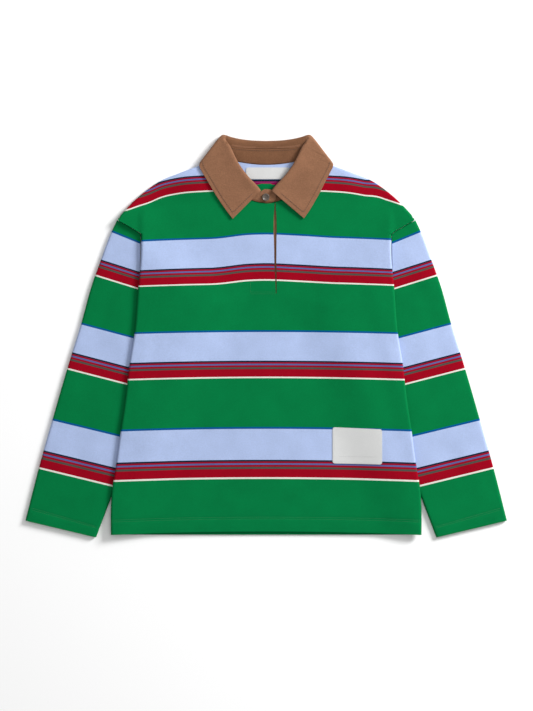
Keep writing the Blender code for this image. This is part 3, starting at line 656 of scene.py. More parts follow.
def sleeve_rise(side, out, y):
    """Height that folds and unevenness add to the upper wall, clear of the body's edge."""
    rise = FOLD_SHARE * relief(SLEEVE_FOLDS, out, y) + ripple(side * out, y, *SLEEVE_RIPPLE)
    return rise * ease((out - smooth(BODY_EDGE, y) - BODY_CLEAR[0]) / BODY_CLEAR[1])


def tube_edge(edge, inwards, angles):
    """Points round an edge of the flat tube."""
    return [(edge[0] + inwards[0] * turn_shift(angle), edge[1] + inwards[1] * turn_shift(angle),
             TUBE / 2 + LAYERS / 2 * math.sin(math.radians(angle))) for angle in angles]


def sleeve(name, side):
    """A flat tube: each ring goes over the top from the outer edge and back underneath."""
    rows = list(np.linspace(0.0, CUFF_START - 0.012, SLEEVE_ROWS))
    rows += [1 - depth / SLEEVE_LENGTH for depth in EDGE_DEPTHS[::-1]]
    places = sorted(set(np.linspace(*PLACE_ENDS, SLEEVE_PLACES)) | {SEEN_END, HEAD_END})
    grid, pattern, turned = [], [], []
    for v in rows:
        outer, inner = sleeve_point(0.0, v), sleeve_point(1.0, v)
        length = math.hypot(inner[0] - outer[0], inner[1] - outer[1])
        along = ((inner[0] - outer[0]) / length, (inner[1] - outer[1]) / length)
        if v == 0.0:
            along = END_ALONG
        row = tube_edge(outer, along, END_TURN[::-1])
        for w in places:
            out, y = sleeve_point(w, v)
            sewn = sewn_edge(SLEEVE_LENGTH * (1 - v), out, CUFF_ROWS)
            rise = sleeve_rise(side, out, y) * ease(v / HEAD_RUN)
            row.append((out, y, TUBE - JERSEY / 2 + rise + sewn))
        row += tube_edge(inner, (-along[0], -along[1]), END_TURN)
        row.append((inner[0] - along[0] * FOLD, inner[1] - along[1] * FOLD, JERSEY / 2))
        row += [(*sleeve_point(w, v), JERSEY / 2) for w in reversed(places)]
        row.append((outer[0] + along[0] * FOLD, outer[1] + along[1] * FOLD, JERSEY / 2))
        pattern.append([sleeve_pattern(x, y) for x, y, z in row])
        grid.append([(side * x, y, z) for x, y, z in row])
        turned.append([JERSEY / 2 + (HEM_TURN if v > CUFF_START else 0.0)] * len(row))
    if side > 0:
        grid = [row[::-1] for row in grid]
        pattern = [row[::-1] for row in pattern]
    outside = [[JERSEY / 2] * len(grid[0])] * len(grid)
    return shell(name, grid, pattern, jersey, up=turned, down=outside, wrap=True)


for name, side in (("left", -1), ("right", 1)):
    piece = sleeve("sleeve_cloth_" + name, side)
    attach(piece, "root")
    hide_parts("sleeve_" + name)


# Collar leaf: two layers of brushed tan twill, sewn to the top of the band and folded down over it,
# from one tip round the back of the neck to the other. Its back half lies under the body.

TWILL = 2.2
LEAF_REST = 1.2             # middle of the leaf's wall where it lies on the table
LEFT_TIP = (50.2, 175.2)
RIGHT_TIP = (56.6, 175.8)
LEAF = [  # band's foot, seam x, y, z, roll x, y, z, far x, y, edge x, y, z, how far it is folded
    (8.5, None, None, 8.0, 7.6, 217.4, 12.5, None, None, None, None, 8.0, 0.0),
    (18.0, None, None, 8.8, 15.2, 226.8, 12.9, 58.9, 186.4, 58.9, 186.4, 7.8, 0.0),
    (33.0, None, None, 9.3, 24.0, 235.5, 13.2, 68.2, 199.6, 68.2, 199.6, 7.7, 0.0),
    (47.0, None, None, 9.8, 33.0, 246.6, 13.4, 77.7, 214.3, 77.7, 214.3, 8.6, 0.0),
    (57.5, None, None, 10.0, 40.6, 257.6, 13.4, 87.0, 230.0, 87.0, 230.0, 9.8, 0.0),
    (62.4, None, None, 10.0, 46.2, 268.0, 13.2, 95.6, 244.2, 95.6, 244.2, 10.0, 0.0),
    (63.2, None, None, 9.6, 50.0, 276.2, 12.9, 100.0, 253.2, 100.0, 253.2, 9.6, 0.0),
    (63.7, None, None, 9.3, 52.8, 281.8, 12.6, 98.9, 259.4, 97.0, 254.6, 5.4, 0.5),
    (63.9, None, None, 8.1, 55.8, 287.0, 12.2, 92.4, 268.0, 90.5, 257.5, 1.5, 1.0),
    (64.2, None, None, 6.9, 59.6, 292.6, 11.2, 83.2, 280.0, 78.0, 252.0, 1.2, 1.0),
    (63.8, 62.6, 291.6, 6.5, 62.2, 296.2, 10.2, 74.8, 291.2, 66.0, 249.0, 1.2, 1.0),
    (62.8, 61.6, 289.0, 6.3, 62.4, 297.4, 9.4, 70.4, 296.9, 60.0, 247.5, 1.2, 1.0),
    (60.5, 59.0, 286.0, 6.1, 61.0, 297.0, 8.7, 66.6, 300.7, 54.0, 246.5, 1.2, 1.0),
    (57.0, 55.5, 284.2, 6.0, 57.6, 295.0, 8.2, 61.4, 300.7, 50.0, 245.5, 1.2, 1.0),
    (51.0, 50.5, 282.9, 6.0, 51.4, 292.0, 7.9, 53.4, 298.2, 45.0, 244.5, 1.2, 1.0),
    (38.0, 38.0, 281.2, 5.9, 38.0, 288.8, 7.6, 38.6, 295.0, 34.0, 243.0, 1.2, 1.0),
    (20.0, 20.0, 280.2, 5.8, 20.0, 286.8, 7.4, 20.2, 292.9, 18.0, 242.2, 1.2, 1.0),
    (0.0, 0.0, 279.8, 5.8, 0.0, 286.2, 7.4, 0.0, 292.2, 0.0, 242.0, 1.2, 1.0)]
LEAF_STEPS = 5              # sections between two rows of the table
TOP_POINTS = 15
BEND_POINTS = 7
UNDER_POINTS = 6
BEND_TOP = 10.4             # highest middle of the leaf where it turns over the shoulder
CORNER_TOP = 9.9            # the same where it goes over from open to folded
LEAST_BEND = 0.12           # bend of an open edge, in radians
LIP = 0.9                   # how far an open edge reaches past its bend
LEAF_CLEAR = 0.15           # gap, past the seam's, between the leaf and the front under it
LEAF_SAG = 1.2
TIP_ROWS = 5                # over which the wider right tip tapers off
ROLL_TO_SEAM = TWILL + SEAM + 0.9
EDGE_THIN = 0.72            # of the wall's thickness at its two edges
STRIP_OUT, STRIP_Y, STRIP_Z = 0.0605, 0.276, 0.0055     # metres: its part behind the neck
STRIP_START, STRIP_SLOPE = 0.281, 0.1   # from where on that part takes the darker twill, as painted shade
ROLL_BULGE = 2.6            # how far the top of the roll lies past its foot
FOOT_LIFT = 0.3             # of its foot above the seam
SEAM_CLEAR = 0.2            # the same behind the neck, up the shirt too
RISE_BEND = (0.7, 0.9)      # how far it bends towards the neck, and up, on its way to the roll
BEHIND_FLAT = 0.6           # how much less it bends behind the neck
BEND_DROP = 0.3             # least drop from the roll to the far bend
SAG_RUN = 40.0              # width from which on it sags fully
REST_SOFT = 0.5             # how softly it settles on the front, in square millimetres
BEHIND_Y = (3.0, 4.0)       # the roll stands behind its seam from this far on, over this run
BEHIND_OUT = (64.5, 1.5)
CORNER_IN, CORNER_OUT = 8, 6    # how fast the corner's height takes over, and gives way
TURN_UNDER = (0.55, 0.45)   # share of the fold where the edge starts to turn in, and its run
FRONT_REST = (150.0, 28.0, 40.0)    # widest place looked at, past the shoulder, over this run


def run_along(points):
    """Length of a path up to each of its points."""
    return np.concatenate([[0], np.cumsum(np.linalg.norm(np.diff(points, axis=0), axis=1))])


def spline(points, count):
    """Even points along a smooth curve through the given ones."""
    pts = np.array(points, dtype=float)
    run = run_along(pts)
    slopes = np.gradient(pts, run, axis=0)
    out = []
    for at in np.linspace(0, run[-1], count):
        i = int(np.clip(np.searchsorted(run, at) - 1, 0, len(run) - 2))
        span = run[i + 1] - run[i]
        out.append(cubic((at - run[i]) / span,
                         pts[i], span * slopes[i], pts[i + 1], span * slopes[i + 1]))
    return np.array(out)


def between(sections, steps):
    """Adds smooth sections between the given ones."""
    stack = np.array(sections, dtype=float)
    rows = []
    for at in np.linspace(0, len(stack) - 1, (len(stack) - 1) * steps + 1):
        i = min(int(at), len(stack) - 2)
        before, after = stack[max(i - 1, 0)], stack[min(i + 2, len(stack) - 1)]
        rows.append(cubic(at - i, stack[i], (stack[i + 1] - before) / 2,
                          stack[i + 1], (after - stack[i]) / 2))
    return rows


def leaf_rows(tip):
    """The table's rows for one side, with its own tip, and the seam found where it is hidden."""
    rows = []
    for i, row in enumerate(LEAF):
        row = list(row)
        if row[7] is None:
            row[7], row[8] = tip
            row[9], row[10] = tip
        else:
            wider = (tip[0] - LEFT_TIP[0]) * max(1 - i / TIP_ROWS, 0.0)
            row[7], row[9] = row[7] + wider, row[9] + wider
        if row[1] is None:
            out = np.array([row[7] - row[4], row[8] - row[5]])
            out = out / np.linalg.norm(out) * ROLL_TO_SEAM
            row[1], row[2] = row[4] + out[0], row[5] + out[1]
        rows.append(row)
    return between(rows, LEAF_STEPS)


def leaf_section(row):
    """One section: up from the seam, over the roll, out to the far edge and back beneath if folded."""
    seam, roll = np.array(row[1:4]), np.array(row[4:7])
    far, edge, fold = np.array(row[7:9]), np.array(row[9:12]), min(max(row[12], 0.0), 1.0)
    out = (far - roll[:2]) / np.linalg.norm(far - roll[:2])
    half = TWILL / 2
    behind = ease((roll[1] - seam[1] - BEHIND_Y[0]) / BEHIND_Y[1]) * \
        ease((BEHIND_OUT[0] - row[0]) / BEHIND_OUT[1])
    start = lerp(np.array([*(roll[:2] + out * half), seam[2] + FOOT_LIFT]),
                 np.array([seam[0], seam[1] + SEAM + SEAM_CLEAR, seam[2] + SEAM_CLEAR]), behind)
    crest = np.array([*(roll[:2] + out * (half + ROLL_BULGE * (1 - behind))), roll[2]])
    bend = np.array([*(-out * RISE_BEND[0] * (1 - behind)), RISE_BEND[1]])
    rise = [start, lerp(start, crest, 0.5) + bend * (1 - BEHIND_FLAT * behind), crest]
    edge_z = max(edge[2], LEAF_REST)
    radius = max((min(roll[2] - BEND_DROP, BEND_TOP) - LEAF_REST) / 2, half)
    angle = max(math.pi * fold, LEAST_BEND)
    turned = lerp(edge_z + radius * (1 - math.cos(angle)), CORNER_TOP,
                  min(1.0, CORNER_IN * fold, CORNER_OUT * (1 - fold)))
    side = far - out * (half * fold + LIP * (1 - fold) + radius * math.sin(min(angle, math.pi / 2)))
    top_end = np.array([*side, turned])
    run = []
    sag_here = LEAF_SAG * ease(np.linalg.norm(top_end - crest) / SAG_RUN)
    for t in np.linspace(0, 1, TOP_POINTS):
        sag = sag_here * math.sin(math.pi * t) * (1 - t)
        run.append(rest_on_front(crest + (top_end - crest) * t - np.array([0, 0, sag])))
    for i in range(1, BEND_POINTS + 1):
        a = angle * i / BEND_POINTS
        run.append(np.array([*(side + out * radius * math.sin(a)),
                             run[TOP_POINTS - 1][2] - radius * (1 - math.cos(a))]))
    last = run[-1]
    onward = np.array([*(out * math.cos(angle)), -math.sin(angle)]) * LIP
    beneath = np.array([*edge[:2], edge_z]) - last
    step = lerp(onward, beneath, ease((fold - TURN_UNDER[0]) / TURN_UNDER[1]))
    run += [last + step * t for t in np.linspace(0, 1, UNDER_POINTS + 1)[1:]]
    return np.array(list(spline(rise, 6)[:-1]) + run)


def rest_on_front(point):
    """Lifts a point of the leaf just clear of the front panel under it."""
    if point[1] < neck_line(min(point[0], NECK_OUT), True) or point[0] > NECK_OUT:
        widest, past, over = FRONT_REST
        shoulder = smooth(SHOULDER, min(max(point[0], NECK_OUT), widest))
        inside = ease((shoulder + past - point[1]) / over)
        rest = front_height(point[0], point[1]) + JERSEY / 2 + SEAM + TWILL / 2 + LEAF_CLEAR
        gap = rest - point[2]
        point[2] += inside * (gap + math.sqrt(gap * gap + REST_SOFT)) / 2
    return point


def mirrored(sections):
    """The same sections on the other side of the centre line."""
    return [section * np.array([-1, 1, 1]) for section in sections]


def run_lengths(grid):
    """Cloth lengths along and across a grid of sections, for its pattern."""
    return [[(along, across) for across in run_along(section)]
            for along, section in zip(run_along(np.array(grid).mean(1)), grid)]


def make_twill(name, colour):
    """Brushed twill of one colour."""
    material, tree, shader = new_material(name, {
        "Roughness": 0.92, "Sheen Weight": 0.06, "Sheen Roughness": 0.5, "Specular IOR Level": 0.05})
    add_grain(tree, shader, colour, rib=1.3, row=1.7, lint=1100.0, depth=0.22, light=1.18, dark=0.80)
    return material


twill = make_twill("brushed tan twill", (0.272, 0.131, 0.072))
# A darker copy of the same twill, used as painted shade on the collar band and on the leaf's part
# behind the neck.
shaded_twill = make_twill("tan twill with painted shade", (0.200, 0.092, 0.047))
leaf_left = mirrored([leaf_section(row) for row in leaf_rows(LEFT_TIP)])
leaf_right = [leaf_section(row) for row in leaf_rows(RIGHT_TIP)]
leaf_grid = leaf_left + leaf_right[-2::-1]
leaf_half = [[TWILL / 2 * (EDGE_THIN if j in (0, len(leaf_grid[0]) - 1) else 1.0)
              for j in range(len(leaf_grid[0]))] for row in leaf_grid]
leaf = shell("collar_leaf", leaf_grid, run_lengths(leaf_grid), twill, up=leaf_half, down=leaf_half)
leaf.data.materials.append(shaded_twill)
# Faces of the leaf's part behind the neck, up from a slanting line, get the darker twill: painted shade
# on the same cloth.
for face in leaf.data.polygons:
    if abs(face.center.x) < STRIP_OUT and face.center.y > STRIP_Y and face.center.z > STRIP_Z:
        face.material_index = int(face.center.y > STRIP_START + abs(face.center.x) * STRIP_SLOPE)
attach(leaf, "root")
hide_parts("collar_fall")


# Collar band: two layers of the same twill between the neckline and the leaf. Its left end is
# rounded and laps over the right one, where the button holds it.

NECK_INSET = 1.6            # from the neckline's edge to the middle of the band's lower edge
BAND_LAP = 14.4             # how far the upper end reaches past the centre line
BAND_TOP_Y = 217.4
BAND_UNDER = 2.35           # how much lower the end beneath lies
BAND_LIFT = 0.7             # of its lower edge above the back panel's middle
BAND_BELLY = 0.5
BAND_STEPS = np.linspace(0.0, 1.0, 9)
FRONT_END, BACK_START, LAST_FRONT = 9, 12, 10   # rows of LEAF between which its foot changes over


def band_base(side, x):
    """Lower edge of the band, just inside the neckline."""
    if side == "back":
        y = neck_line(x, False) + NECK_INSET
        return np.array([x, y, back_height(x, y) + BAND_LIFT])
    share = math.sqrt(max(1 - (x / (NECK_OUT - NECK_INSET)) ** 2, 0))
    y = NECK_Y - (NECK_Y - FRONT_NECK_Y - NECK_INSET) * share
    return np.array([x, y, front_height(x, y)])


def band_section(base, top):
    """A section that bellies out a little between the neckline and the leaf's seam."""
    return np.array([base + (top - base) * t + np.array([0, 0, BAND_BELLY]) * math.sin(math.pi * t)
                     for t in BAND_STEPS])


def band_half(tip):
    """Sections of one side of the band, from its front end to the middle of the back."""
    sections = []
    for i, row in enumerate(leaf_rows(tip)):
        side = "back" if i > LAST_FRONT * LEAF_STEPS else "front"
        if FRONT_END * LEAF_STEPS < i < BACK_START * LEAF_STEPS:
            t = (i - FRONT_END * LEAF_STEPS) / ((BACK_START - FRONT_END) * LEAF_STEPS)
            base = lerp(band_base("front", LEAF[FRONT_END][0]),
                        band_base("back", LEAF[BACK_START][0]), ease(t))
        else:
            base = band_base(side, min(row[0], NECK_OUT - NECK_INSET - 0.05))
        sections.append(band_section(base, np.array(row[1:4])))
    return sections


LAP_CORNER = (5.0, 8.0, 6.4, 2.4)   # depth, start, run and power of the lapped end's upper corner
LAP_FOOT = (2.6, 10.0, 4.4, 2.0)    # the same of its lower corner
LAP_CROWN = (2.2, 12.0)     # how much higher its upper edge is in the middle, and how far out


def rounded_off(x, depth, start, run, power):
    """How far a corner of the lapped end is cut back at x."""
    return depth * max(0.0, (x - start) / run) ** power


def band_end(x, top):
    """A section near the lapped ends, straight up the shirt, lower towards the rounded corner."""
    base = band_base("front", abs(x))
    foot = rounded_off(x, *LAP_FOOT)
    crown = LAP_CROWN[0] * (1 - (min(abs(x), LAP_CROWN[1]) / LAP_CROWN[1]) ** 2)
    reach = top[1] - base[1] + crown - rounded_off(x, *LAP_CORNER)
    base = base + np.array([0, foot, 0])
    return band_section(np.array([x, base[1], base[2]]),
                        np.array([x, base[1] + reach - foot, top[2]]))


UNDER_END = (28.0, 226.0)   # where the end beneath has come up to the rest of the band
UNDER_RUN = 10.0
BAND_WALL = 0.9             # of the twill's thickness
LAP_SIDE, LAP_END_Y, LAP_Z = (BAND_LAP + 1.2) * MM, 0.2205, 0.0068  # metres: its outer side, where the plain twill ends and the painted shade goes on
band_left = band_half(LEFT_TIP)
band_right = band_half(RIGHT_TIP)
lap_top = np.array([*band_left[0][-1][:1], BAND_TOP_Y, band_left[0][-1][2]])
lap = [band_end(x, lap_top) for x in np.linspace(BAND_LAP, -3.0, 24)]
under = [band_end(-x, band_right[0][-1]) for x in (-2.0, 0.5, 3.0)]
for section in under:
    section[:, 0] = np.abs(section[:, 0])
under[0][:, 0] = -2.0
for section in under + band_right:
    front_share = ease((UNDER_END[1] - section[0, 1]) / UNDER_RUN)
    section[:, 2] -= BAND_UNDER * ease((UNDER_END[0] - section[0, 0]) / UNDER_RUN) * front_share
band_grid = lap + mirrored(band_left) + (under + band_right)[-2::-1]
band_half_wall = [[TWILL / 2 * BAND_WALL] * len(BAND_STEPS)] * len(band_grid)
# The band is given the darker twill as painted shade; only the upper faces of the lapped end get the
# plain twill.
band = shell("collar_band", band_grid, run_lengths(band_grid), shaded_twill, up=band_half_wall,
             down=band_half_wall)
band.data.materials.append(twill)
for face in band.data.polygons:
    lapped = face.center.x < LAP_SIDE and face.center.y < LAP_END_Y
    face.material_index = int(lapped and face.center.z > LAP_Z)
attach(band, "root")
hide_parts("collar_stand")


# Facing of the concealed placket: a strip of the twill behind the slit, of which a thin line shows.

UNDER_PLACKET = ((-2.0, 58.0), (30.0, 58.0), (30.0, 199.2), (-2.0, 199.2))
UNDER_PLACKET_Z = 3.0
FACING = 1.4


RIM_FALL = 1.6              # how fast a thinner edge reaches full thickness, for each millimetre


def patch(name, corners, height, thick, steps, material, rounding=0.0, corner=0.0):
    """A flat piece that follows what it lies on, with thinner edges and rounded corners if asked."""
    lower_left, lower_right, upper_right, upper_left = np.array(corners)
    grid, half, marks = [], [], []
    wide = math.dist(lower_left, lower_right)
    tall = math.dist(lower_left, upper_left)
    for v in np.linspace(0, 1, steps[1] + 1):
        row, walls, mark = [], [], []
        for u in np.linspace(0, 1, steps[0] + 1):
            x, y = lerp(lerp(lower_left, lower_right, u), lerp(upper_left, upper_right, u), v)
            rim = min(u, 1 - u) * wide, min(v, 1 - v) * tall
            if max(rim) < corner:
                p, q = 1 - rim[0] / corner, 1 - rim[1] / corner
                x += math.copysign(corner * p * (1 - math.sqrt(1 - q * q / 2)), 0.5 - u)
                y += math.copysign(corner * q * (1 - math.sqrt(1 - p * p / 2)), 0.5 - v)
            row.append((x, y, height(x, y)))
            walls.append(thick / 2 * (1 - rounding * math.exp(-min(rim) * RIM_FALL)))
            mark.append((u * wide, v * tall))
        grid.append(row)
        half.append(walls)
        marks.append(mark)
    return shell(name, grid, marks, material, up=half, down=[[thick / 2] * len(r) for r in half])


facing = patch("placket_facing", UNDER_PLACKET, lambda x, y: UNDER_PLACKET_Z, FACING, (12, 40), twill)
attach(facing, "root")
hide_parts("under_placket")


# Button: a turned four-hole button of brown horn with a sunk face, on the lapped end of the band.

BUTTON_PLACE = (-0.6, 207.6)
BUTTON_RADIUS = 5.7
HOLE_RADIUS = 0.72
HOLE_DEPTH = 1.1
HOLE_RIM = 0.24             # width of its rounded rim
HOLE_PLACE = 1.25           # from the button's middle to a hole's middle, along each side
BUTTON_RINGS, BUTTON_TURNS = 38, 72
BUTTON_RIM = ((BUTTON_RADIUS, 1.2), (5.5, 0.5), (4.6, 0.0))     # radius, height, down its side
BUTTON_PROFILE = [(0.0, 1.55), (2.9, 1.6), (3.7, 1.9), (4.3, 2.3), (4.9, 2.4), (5.3, 2.2), (5.6, 1.7)]


def button_seat():
    """Place, and slope, of the button's underside on the band."""
    section = band_end(0.0, lap_top)
    slope = math.atan2(section[-1][2] - section[0][2], section[-1][1] - section[0][1])
    share = (BUTTON_PLACE[1] - section[0][1]) / (section[-1][1] - section[0][1])
    height = lerp(section[0][2], section[-1][2], share) + BAND_BELLY + TWILL / 2 + SEAM
    return height, slope


def on_button(points):
    """Places points of the button, given about its own middle, on the band."""
    height, slope = button_seat()
    c, s = math.cos(slope), math.sin(slope)
    return [((BUTTON_PLACE[0] + x) * MM, (BUTTON_PLACE[1] + y * c - z * s) * MM,
             (height + y * s + z * c) * MM) for x, y, z in points]


def make_horn():
    """Dark horn with fine paler veins, and a shine."""
    material, tree, shader = new_material("brown horn", {
        "Roughness": 0.34, "Coat Weight": 0.3, "Coat Roughness": 0.2})
    place = add_node(tree, "ShaderNodeTexCoord").outputs["Object"]
    veins = add_node(tree, "ShaderNodeTexWave",
                     {"Vector": place, "Scale": 210.0, "Distortion": 7.0, "Detail": 3.0})
    ramp = add_node(tree, "ShaderNodeValToRGB", {0: veins.outputs["Fac"]})
    ramp.color_ramp.elements[0].color = (0.045, 0.033, 0.026, 1.0)
    ramp.color_ramp.elements[1].color = (0.15, 0.12, 0.095, 1.0)
    tree.links.new(ramp.outputs[0], shader.inputs["Base Color"])
    return material


def make_button():
    """The button as rings round its middle, over the face, down the side and in beneath."""
    rings, turns = BUTTON_RINGS, BUTTON_TURNS
    points, faces = [(0.0, 0.0, BUTTON_PROFILE[0][1])], []
    for i in range(1, rings + 1):
        radius = BUTTON_PROFILE[-1][0] * i / rings
        for j in range(turns):
            a = math.tau * j / turns
            x, y = radius * math.cos(a), radius * math.sin(a)
            hole = math.hypot(abs(x) - HOLE_PLACE, abs(y) - HOLE_PLACE)
            z = smooth(BUTTON_PROFILE, radius) - \
                HOLE_DEPTH * ease((HOLE_RADIUS + HOLE_RIM / 2 - hole) / HOLE_RIM)
            points.append((x, y, z))
    for radius, z in BUTTON_RIM:
        points += [(radius * math.cos(math.tau * j / turns), radius * math.sin(math.tau * j / turns), z)
                   for j in range(turns)]
    points.append((0.0, 0.0, 0.0))
    last = 1 + (rings + 2) * turns
    for j in range(turns):
        k = (j + 1) % turns
        faces.append((0, 1 + j, 1 + k))
        faces.append((len(points) - 1, last + k, last + j))
        for i in range(rings + 2):
            low, high = 1 + i * turns, 1 + (i + 1) * turns
            faces.append((low + j, high + j, high + k, low + k))
    mesh = bpy.data.meshes.new("horn_button")
    mesh.from_pydata(on_button(points), [], faces)
    mesh.materials.append(make_horn())
    mesh.shade_smooth()
    mesh.set_sharp_from_angle(angle=math.radians(60))
    piece = in_scene("horn_button", mesh)
    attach(piece, "root")
    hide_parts("button")


make_button()


# Labels: woven tape, bare. One and its size tab are sewn inside the back neck, the other on the
# front near the hem.

LABEL = 0.6
LABEL_CORNER = 3.6          # radius
NECK_LABEL = ((-30.3, 234.8), (36.0, 234.8), (36.0, 252.3), (-30.3, 252.3))
SIZE_TAB = ((36.4, 246.2), (41.4, 246.2), (41.4, 251.6), (36.4, 251.6))
HEM_LABEL = ((99.5, -191.7), (173.7, -193.2), (173.7, -140.4), (99.5, -137.4))


def make_tape():
    """White woven tape."""
    material, tree, shader = new_material("woven tape", {"Roughness": 0.75, "Sheen Weight": 0.1})
    add_grain(tree, shader, (0.60, 0.605, 0.60),
              rib=0.45, row=0.45, lint=2600.0, depth=0.05, light=1.03, dark=0.96)
    return material


tape = make_tape()
for name, node, corners, height, steps, flat in (
        ("neck_tape", "neck_label", NECK_LABEL, back_height, (32, 10), (0.0663, 0.0175)),
        ("size_tape", "size_tab", SIZE_TAB, back_height, (6, 6), None),
        ("hem_tape", "hem_label", HEM_LABEL, front_height, (40, 30), (0.0742, 0.0529))):
    piece = patch(name, corners, lambda x, y: height(x, y) + (JERSEY + LABEL) / 2 + SEAM, LABEL, steps,
                  tape, rounding=0.35, corner=LABEL_CORNER if flat else 0.0)
    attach(piece, "root")
    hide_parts(node)


# Sewing: rows of lockstitch in matching thread along hems, cuffs, collar, placket and labels. Each
# row is one path, on which a tree of nodes sets a stitch every few millimetres.

def make_stitch_tree():
    """Nodes that set even stitches, each a stretched ball, along a path."""
    tree = node_group("stitches on a path", "GeometryNodeTree", [
        ("Geometry", "INPUT", "Geometry"), ("Pitch", "INPUT", "Float"), ("Length", "INPUT", "Float"),
        ("Thickness", "INPUT", "Float"), ("Thread", "INPUT", "Material"),
        ("Geometry", "OUTPUT", "Geometry")])
    given = add_node(tree, "NodeGroupInput").outputs
    path = add_node(tree, "GeometryNodeMeshToCurve", {"Mesh": given["Geometry"]})
    even = add_node(tree, "GeometryNodeResampleCurve",
                    {"Curve": path.outputs["Curve"], "Length": given["Pitch"]}, mode="LENGTH")
    ball = add_node(tree, "GeometryNodeMeshUVSphere", {"Segments": 6, "Rings": 5, "Radius": 0.5})
    size = add_node(tree, "ShaderNodeCombineXYZ",
                    {0: given["Thickness"], 1: given["Thickness"], 2: given["Length"]})
    scaled = add_node(tree, "GeometryNodeTransform",
                      {"Geometry": ball.outputs["Mesh"], "Scale": size.outputs[0]})
    tangent = add_node(tree, "GeometryNodeInputTangent")
    turn = add_node(tree, "FunctionNodeAlignRotationToVector", {"Vector": tangent.outputs[0]}, axis="Z")
    place = add_node(tree, "GeometryNodeInstanceOnPoints", {
        "Points": even.outputs["Curve"], "Instance": scaled.outputs["Geometry"],
        "Rotation": turn.outputs["Rotation"]})
    real = add_node(tree, "GeometryNodeRealizeInstances", {"Geometry": place.outputs["Instances"]})
    soft = add_node(tree, "GeometryNodeSetShadeSmooth", {"Geometry": real.outputs["Geometry"]})
    finish = add_node(tree, "GeometryNodeSetMaterial",
                      {"Geometry": soft.outputs["Geometry"], "Material": given["Thread"]})
    add_node(tree, "NodeGroupOutput", {"Geometry": finish.outputs["Geometry"]})
    return tree


STITCHES = make_stitch_tree()


def make_thread(name, colour):
    """Sewing thread of one colour."""
    material, tree, shader = new_material(name, {"Roughness": 0.6, "Sheen Weight": 0.2})
    add_grain(tree, shader, colour, rib=0.3, row=0.3, lint=4000.0, depth=0.02, light=1.08, dark=0.92)
    return material


def sew(name, rows, thread, pitch, length, thick):
    """Sews rows of points (millimetres) with stitches of a length and thickness."""
    vertices, edges = [], []
    for row in rows:
        start = len(vertices)
        vertices += [tuple(np.array(point) * MM) for point in row]
        edges += [(start + i, start + i + 1) for i in range(len(row) - 1)]
    mesh = bpy.data.meshes.new(name + "_path")
    mesh.from_pydata(vertices, edges, [])
    path = in_scene(name + "_path", mesh)
    modifier = path.modifiers.new("stitches", "NODES")
    modifier.node_group = STITCHES
    values = {"Pitch": pitch * MM, "Length": length * MM, "Thickness": thick * MM, "Thread": thread}
    for socket in STITCHES.interface.items_tree:
        if socket.item_type == "SOCKET" and socket.in_out == "INPUT" and socket.name in values:
            modifier[socket.identifier] = values[socket.name]
    bpy.context.view_layer.update()
    graph = bpy.context.evaluated_depsgraph_get()
    made = bpy.data.meshes.new_from_object(path.evaluated_get(graph))
    made.name = name
    bpy.data.objects.remove(path)
    piece = in_scene(name, made)
    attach(piece, "root")


THREAD_LIFT = 0.08          # of a stitch's middle above the cloth
BACK_THREAD_Z = 0.25
LEAF_THREAD_LIFT = 0.24


def on_front(points):
    """Lays a row of points on the front panel."""
    return [(x, y, front_height(x, y) + JERSEY / 2 + THREAD_LIFT) for x, y in points]


def line(start, end, count=24):
    """Even points from start to end."""
    return [(lerp(start[0], end[0], t), lerp(start[1], end[1], t)) for t in np.linspace(0, 1, count)]


HEM_HALF = 232.0            # half the width of the hem
HEM_SEWN = 229.5            # how far out its rows go


def hem_row(depth, sign):
    """A row across the front or back, a depth above the hem."""
    points = []
    for x in np.linspace(-HEM_SEWN, HEM_SEWN, 160):
        y = HEM_Y + (hem_arch(x, HEM_Y + depth, HEM_HALF) if sign > 0 else 0.0) + depth
        sewn = sewn_edge(depth, x, HEM_ROWS)
        z = front_height(x, y) + JERSEY / 2 + THREAD_LIFT + sewn if sign > 0 else BACK_THREAD_Z
        points.append((x, y, z))
    return points


CUFF_SEWN = (0.035, 0.965)  # places across the sleeve between which its rows go


def cuff_row(side, depth):
    """A row across the upper side of a cuff, a depth above its edge."""
    points = []
    for w in np.linspace(*CUFF_SEWN, 44):
        out, y = sleeve_point(w, 1.0 - depth / SLEEVE_LENGTH)
        z = TUBE + sleeve_rise(side, out, y) + sewn_edge(depth, out, CUFF_ROWS) + THREAD_LIFT
        points.append((side * out, y, z))
    return points


def inset_point(points, inset):
    """The point of a path at a distance from its start."""
    run = run_along(points)
    return [np.interp(inset, run, points[:, k]) for k in range(3)]


FIRST_SEWN = 8              # point of a section where the row along the front edge starts
LAST_SEWN = 6 * LEAF_STEPS + 3      # section where the row along the outer edge ends


LEAF_INSET = 6.2


def leaf_edge_rows(inset):
    """A row along each leaf's outer edge and front edge, an inset from both."""
    rows = []
    for sections in (leaf_left, leaf_right):
        stack = np.array(sections[:2 * LEAF_STEPS])
        outer = np.array([inset_point(section[::-1], inset) for section in sections[:LAST_SEWN]])
        front_edge = np.array([inset_point(stack[:, j], inset)
                               for j in range(FIRST_SEWN, stack.shape[1])])
        gaps = np.linalg.norm(outer[:, None, :2] - front_edge[None, :, :2], axis=2)
        i, j = np.unravel_index(np.argmin(gaps), gaps.shape)
        path = np.concatenate([front_edge[:j], outer[i:]])
        path[:, 2] += TWILL / 2 + LEAF_THREAD_LIFT
        rows.append(path.tolist())
    return rows


def band_seam_rows():
    """The row that closes the band's upper edge behind the neck, a little below its seam."""
    first = 8 * LEAF_STEPS
    sections = mirrored(band_left[first:]) + band_right[:first - 1:-1]
    return [[(*section[-2][:2], section[-2][2] + TWILL / 2 + THREAD_LIFT) for section in sections]]


LABEL_TOP = JERSEY / 2 + SEAM + LABEL       # above the middle of the wall it lies on


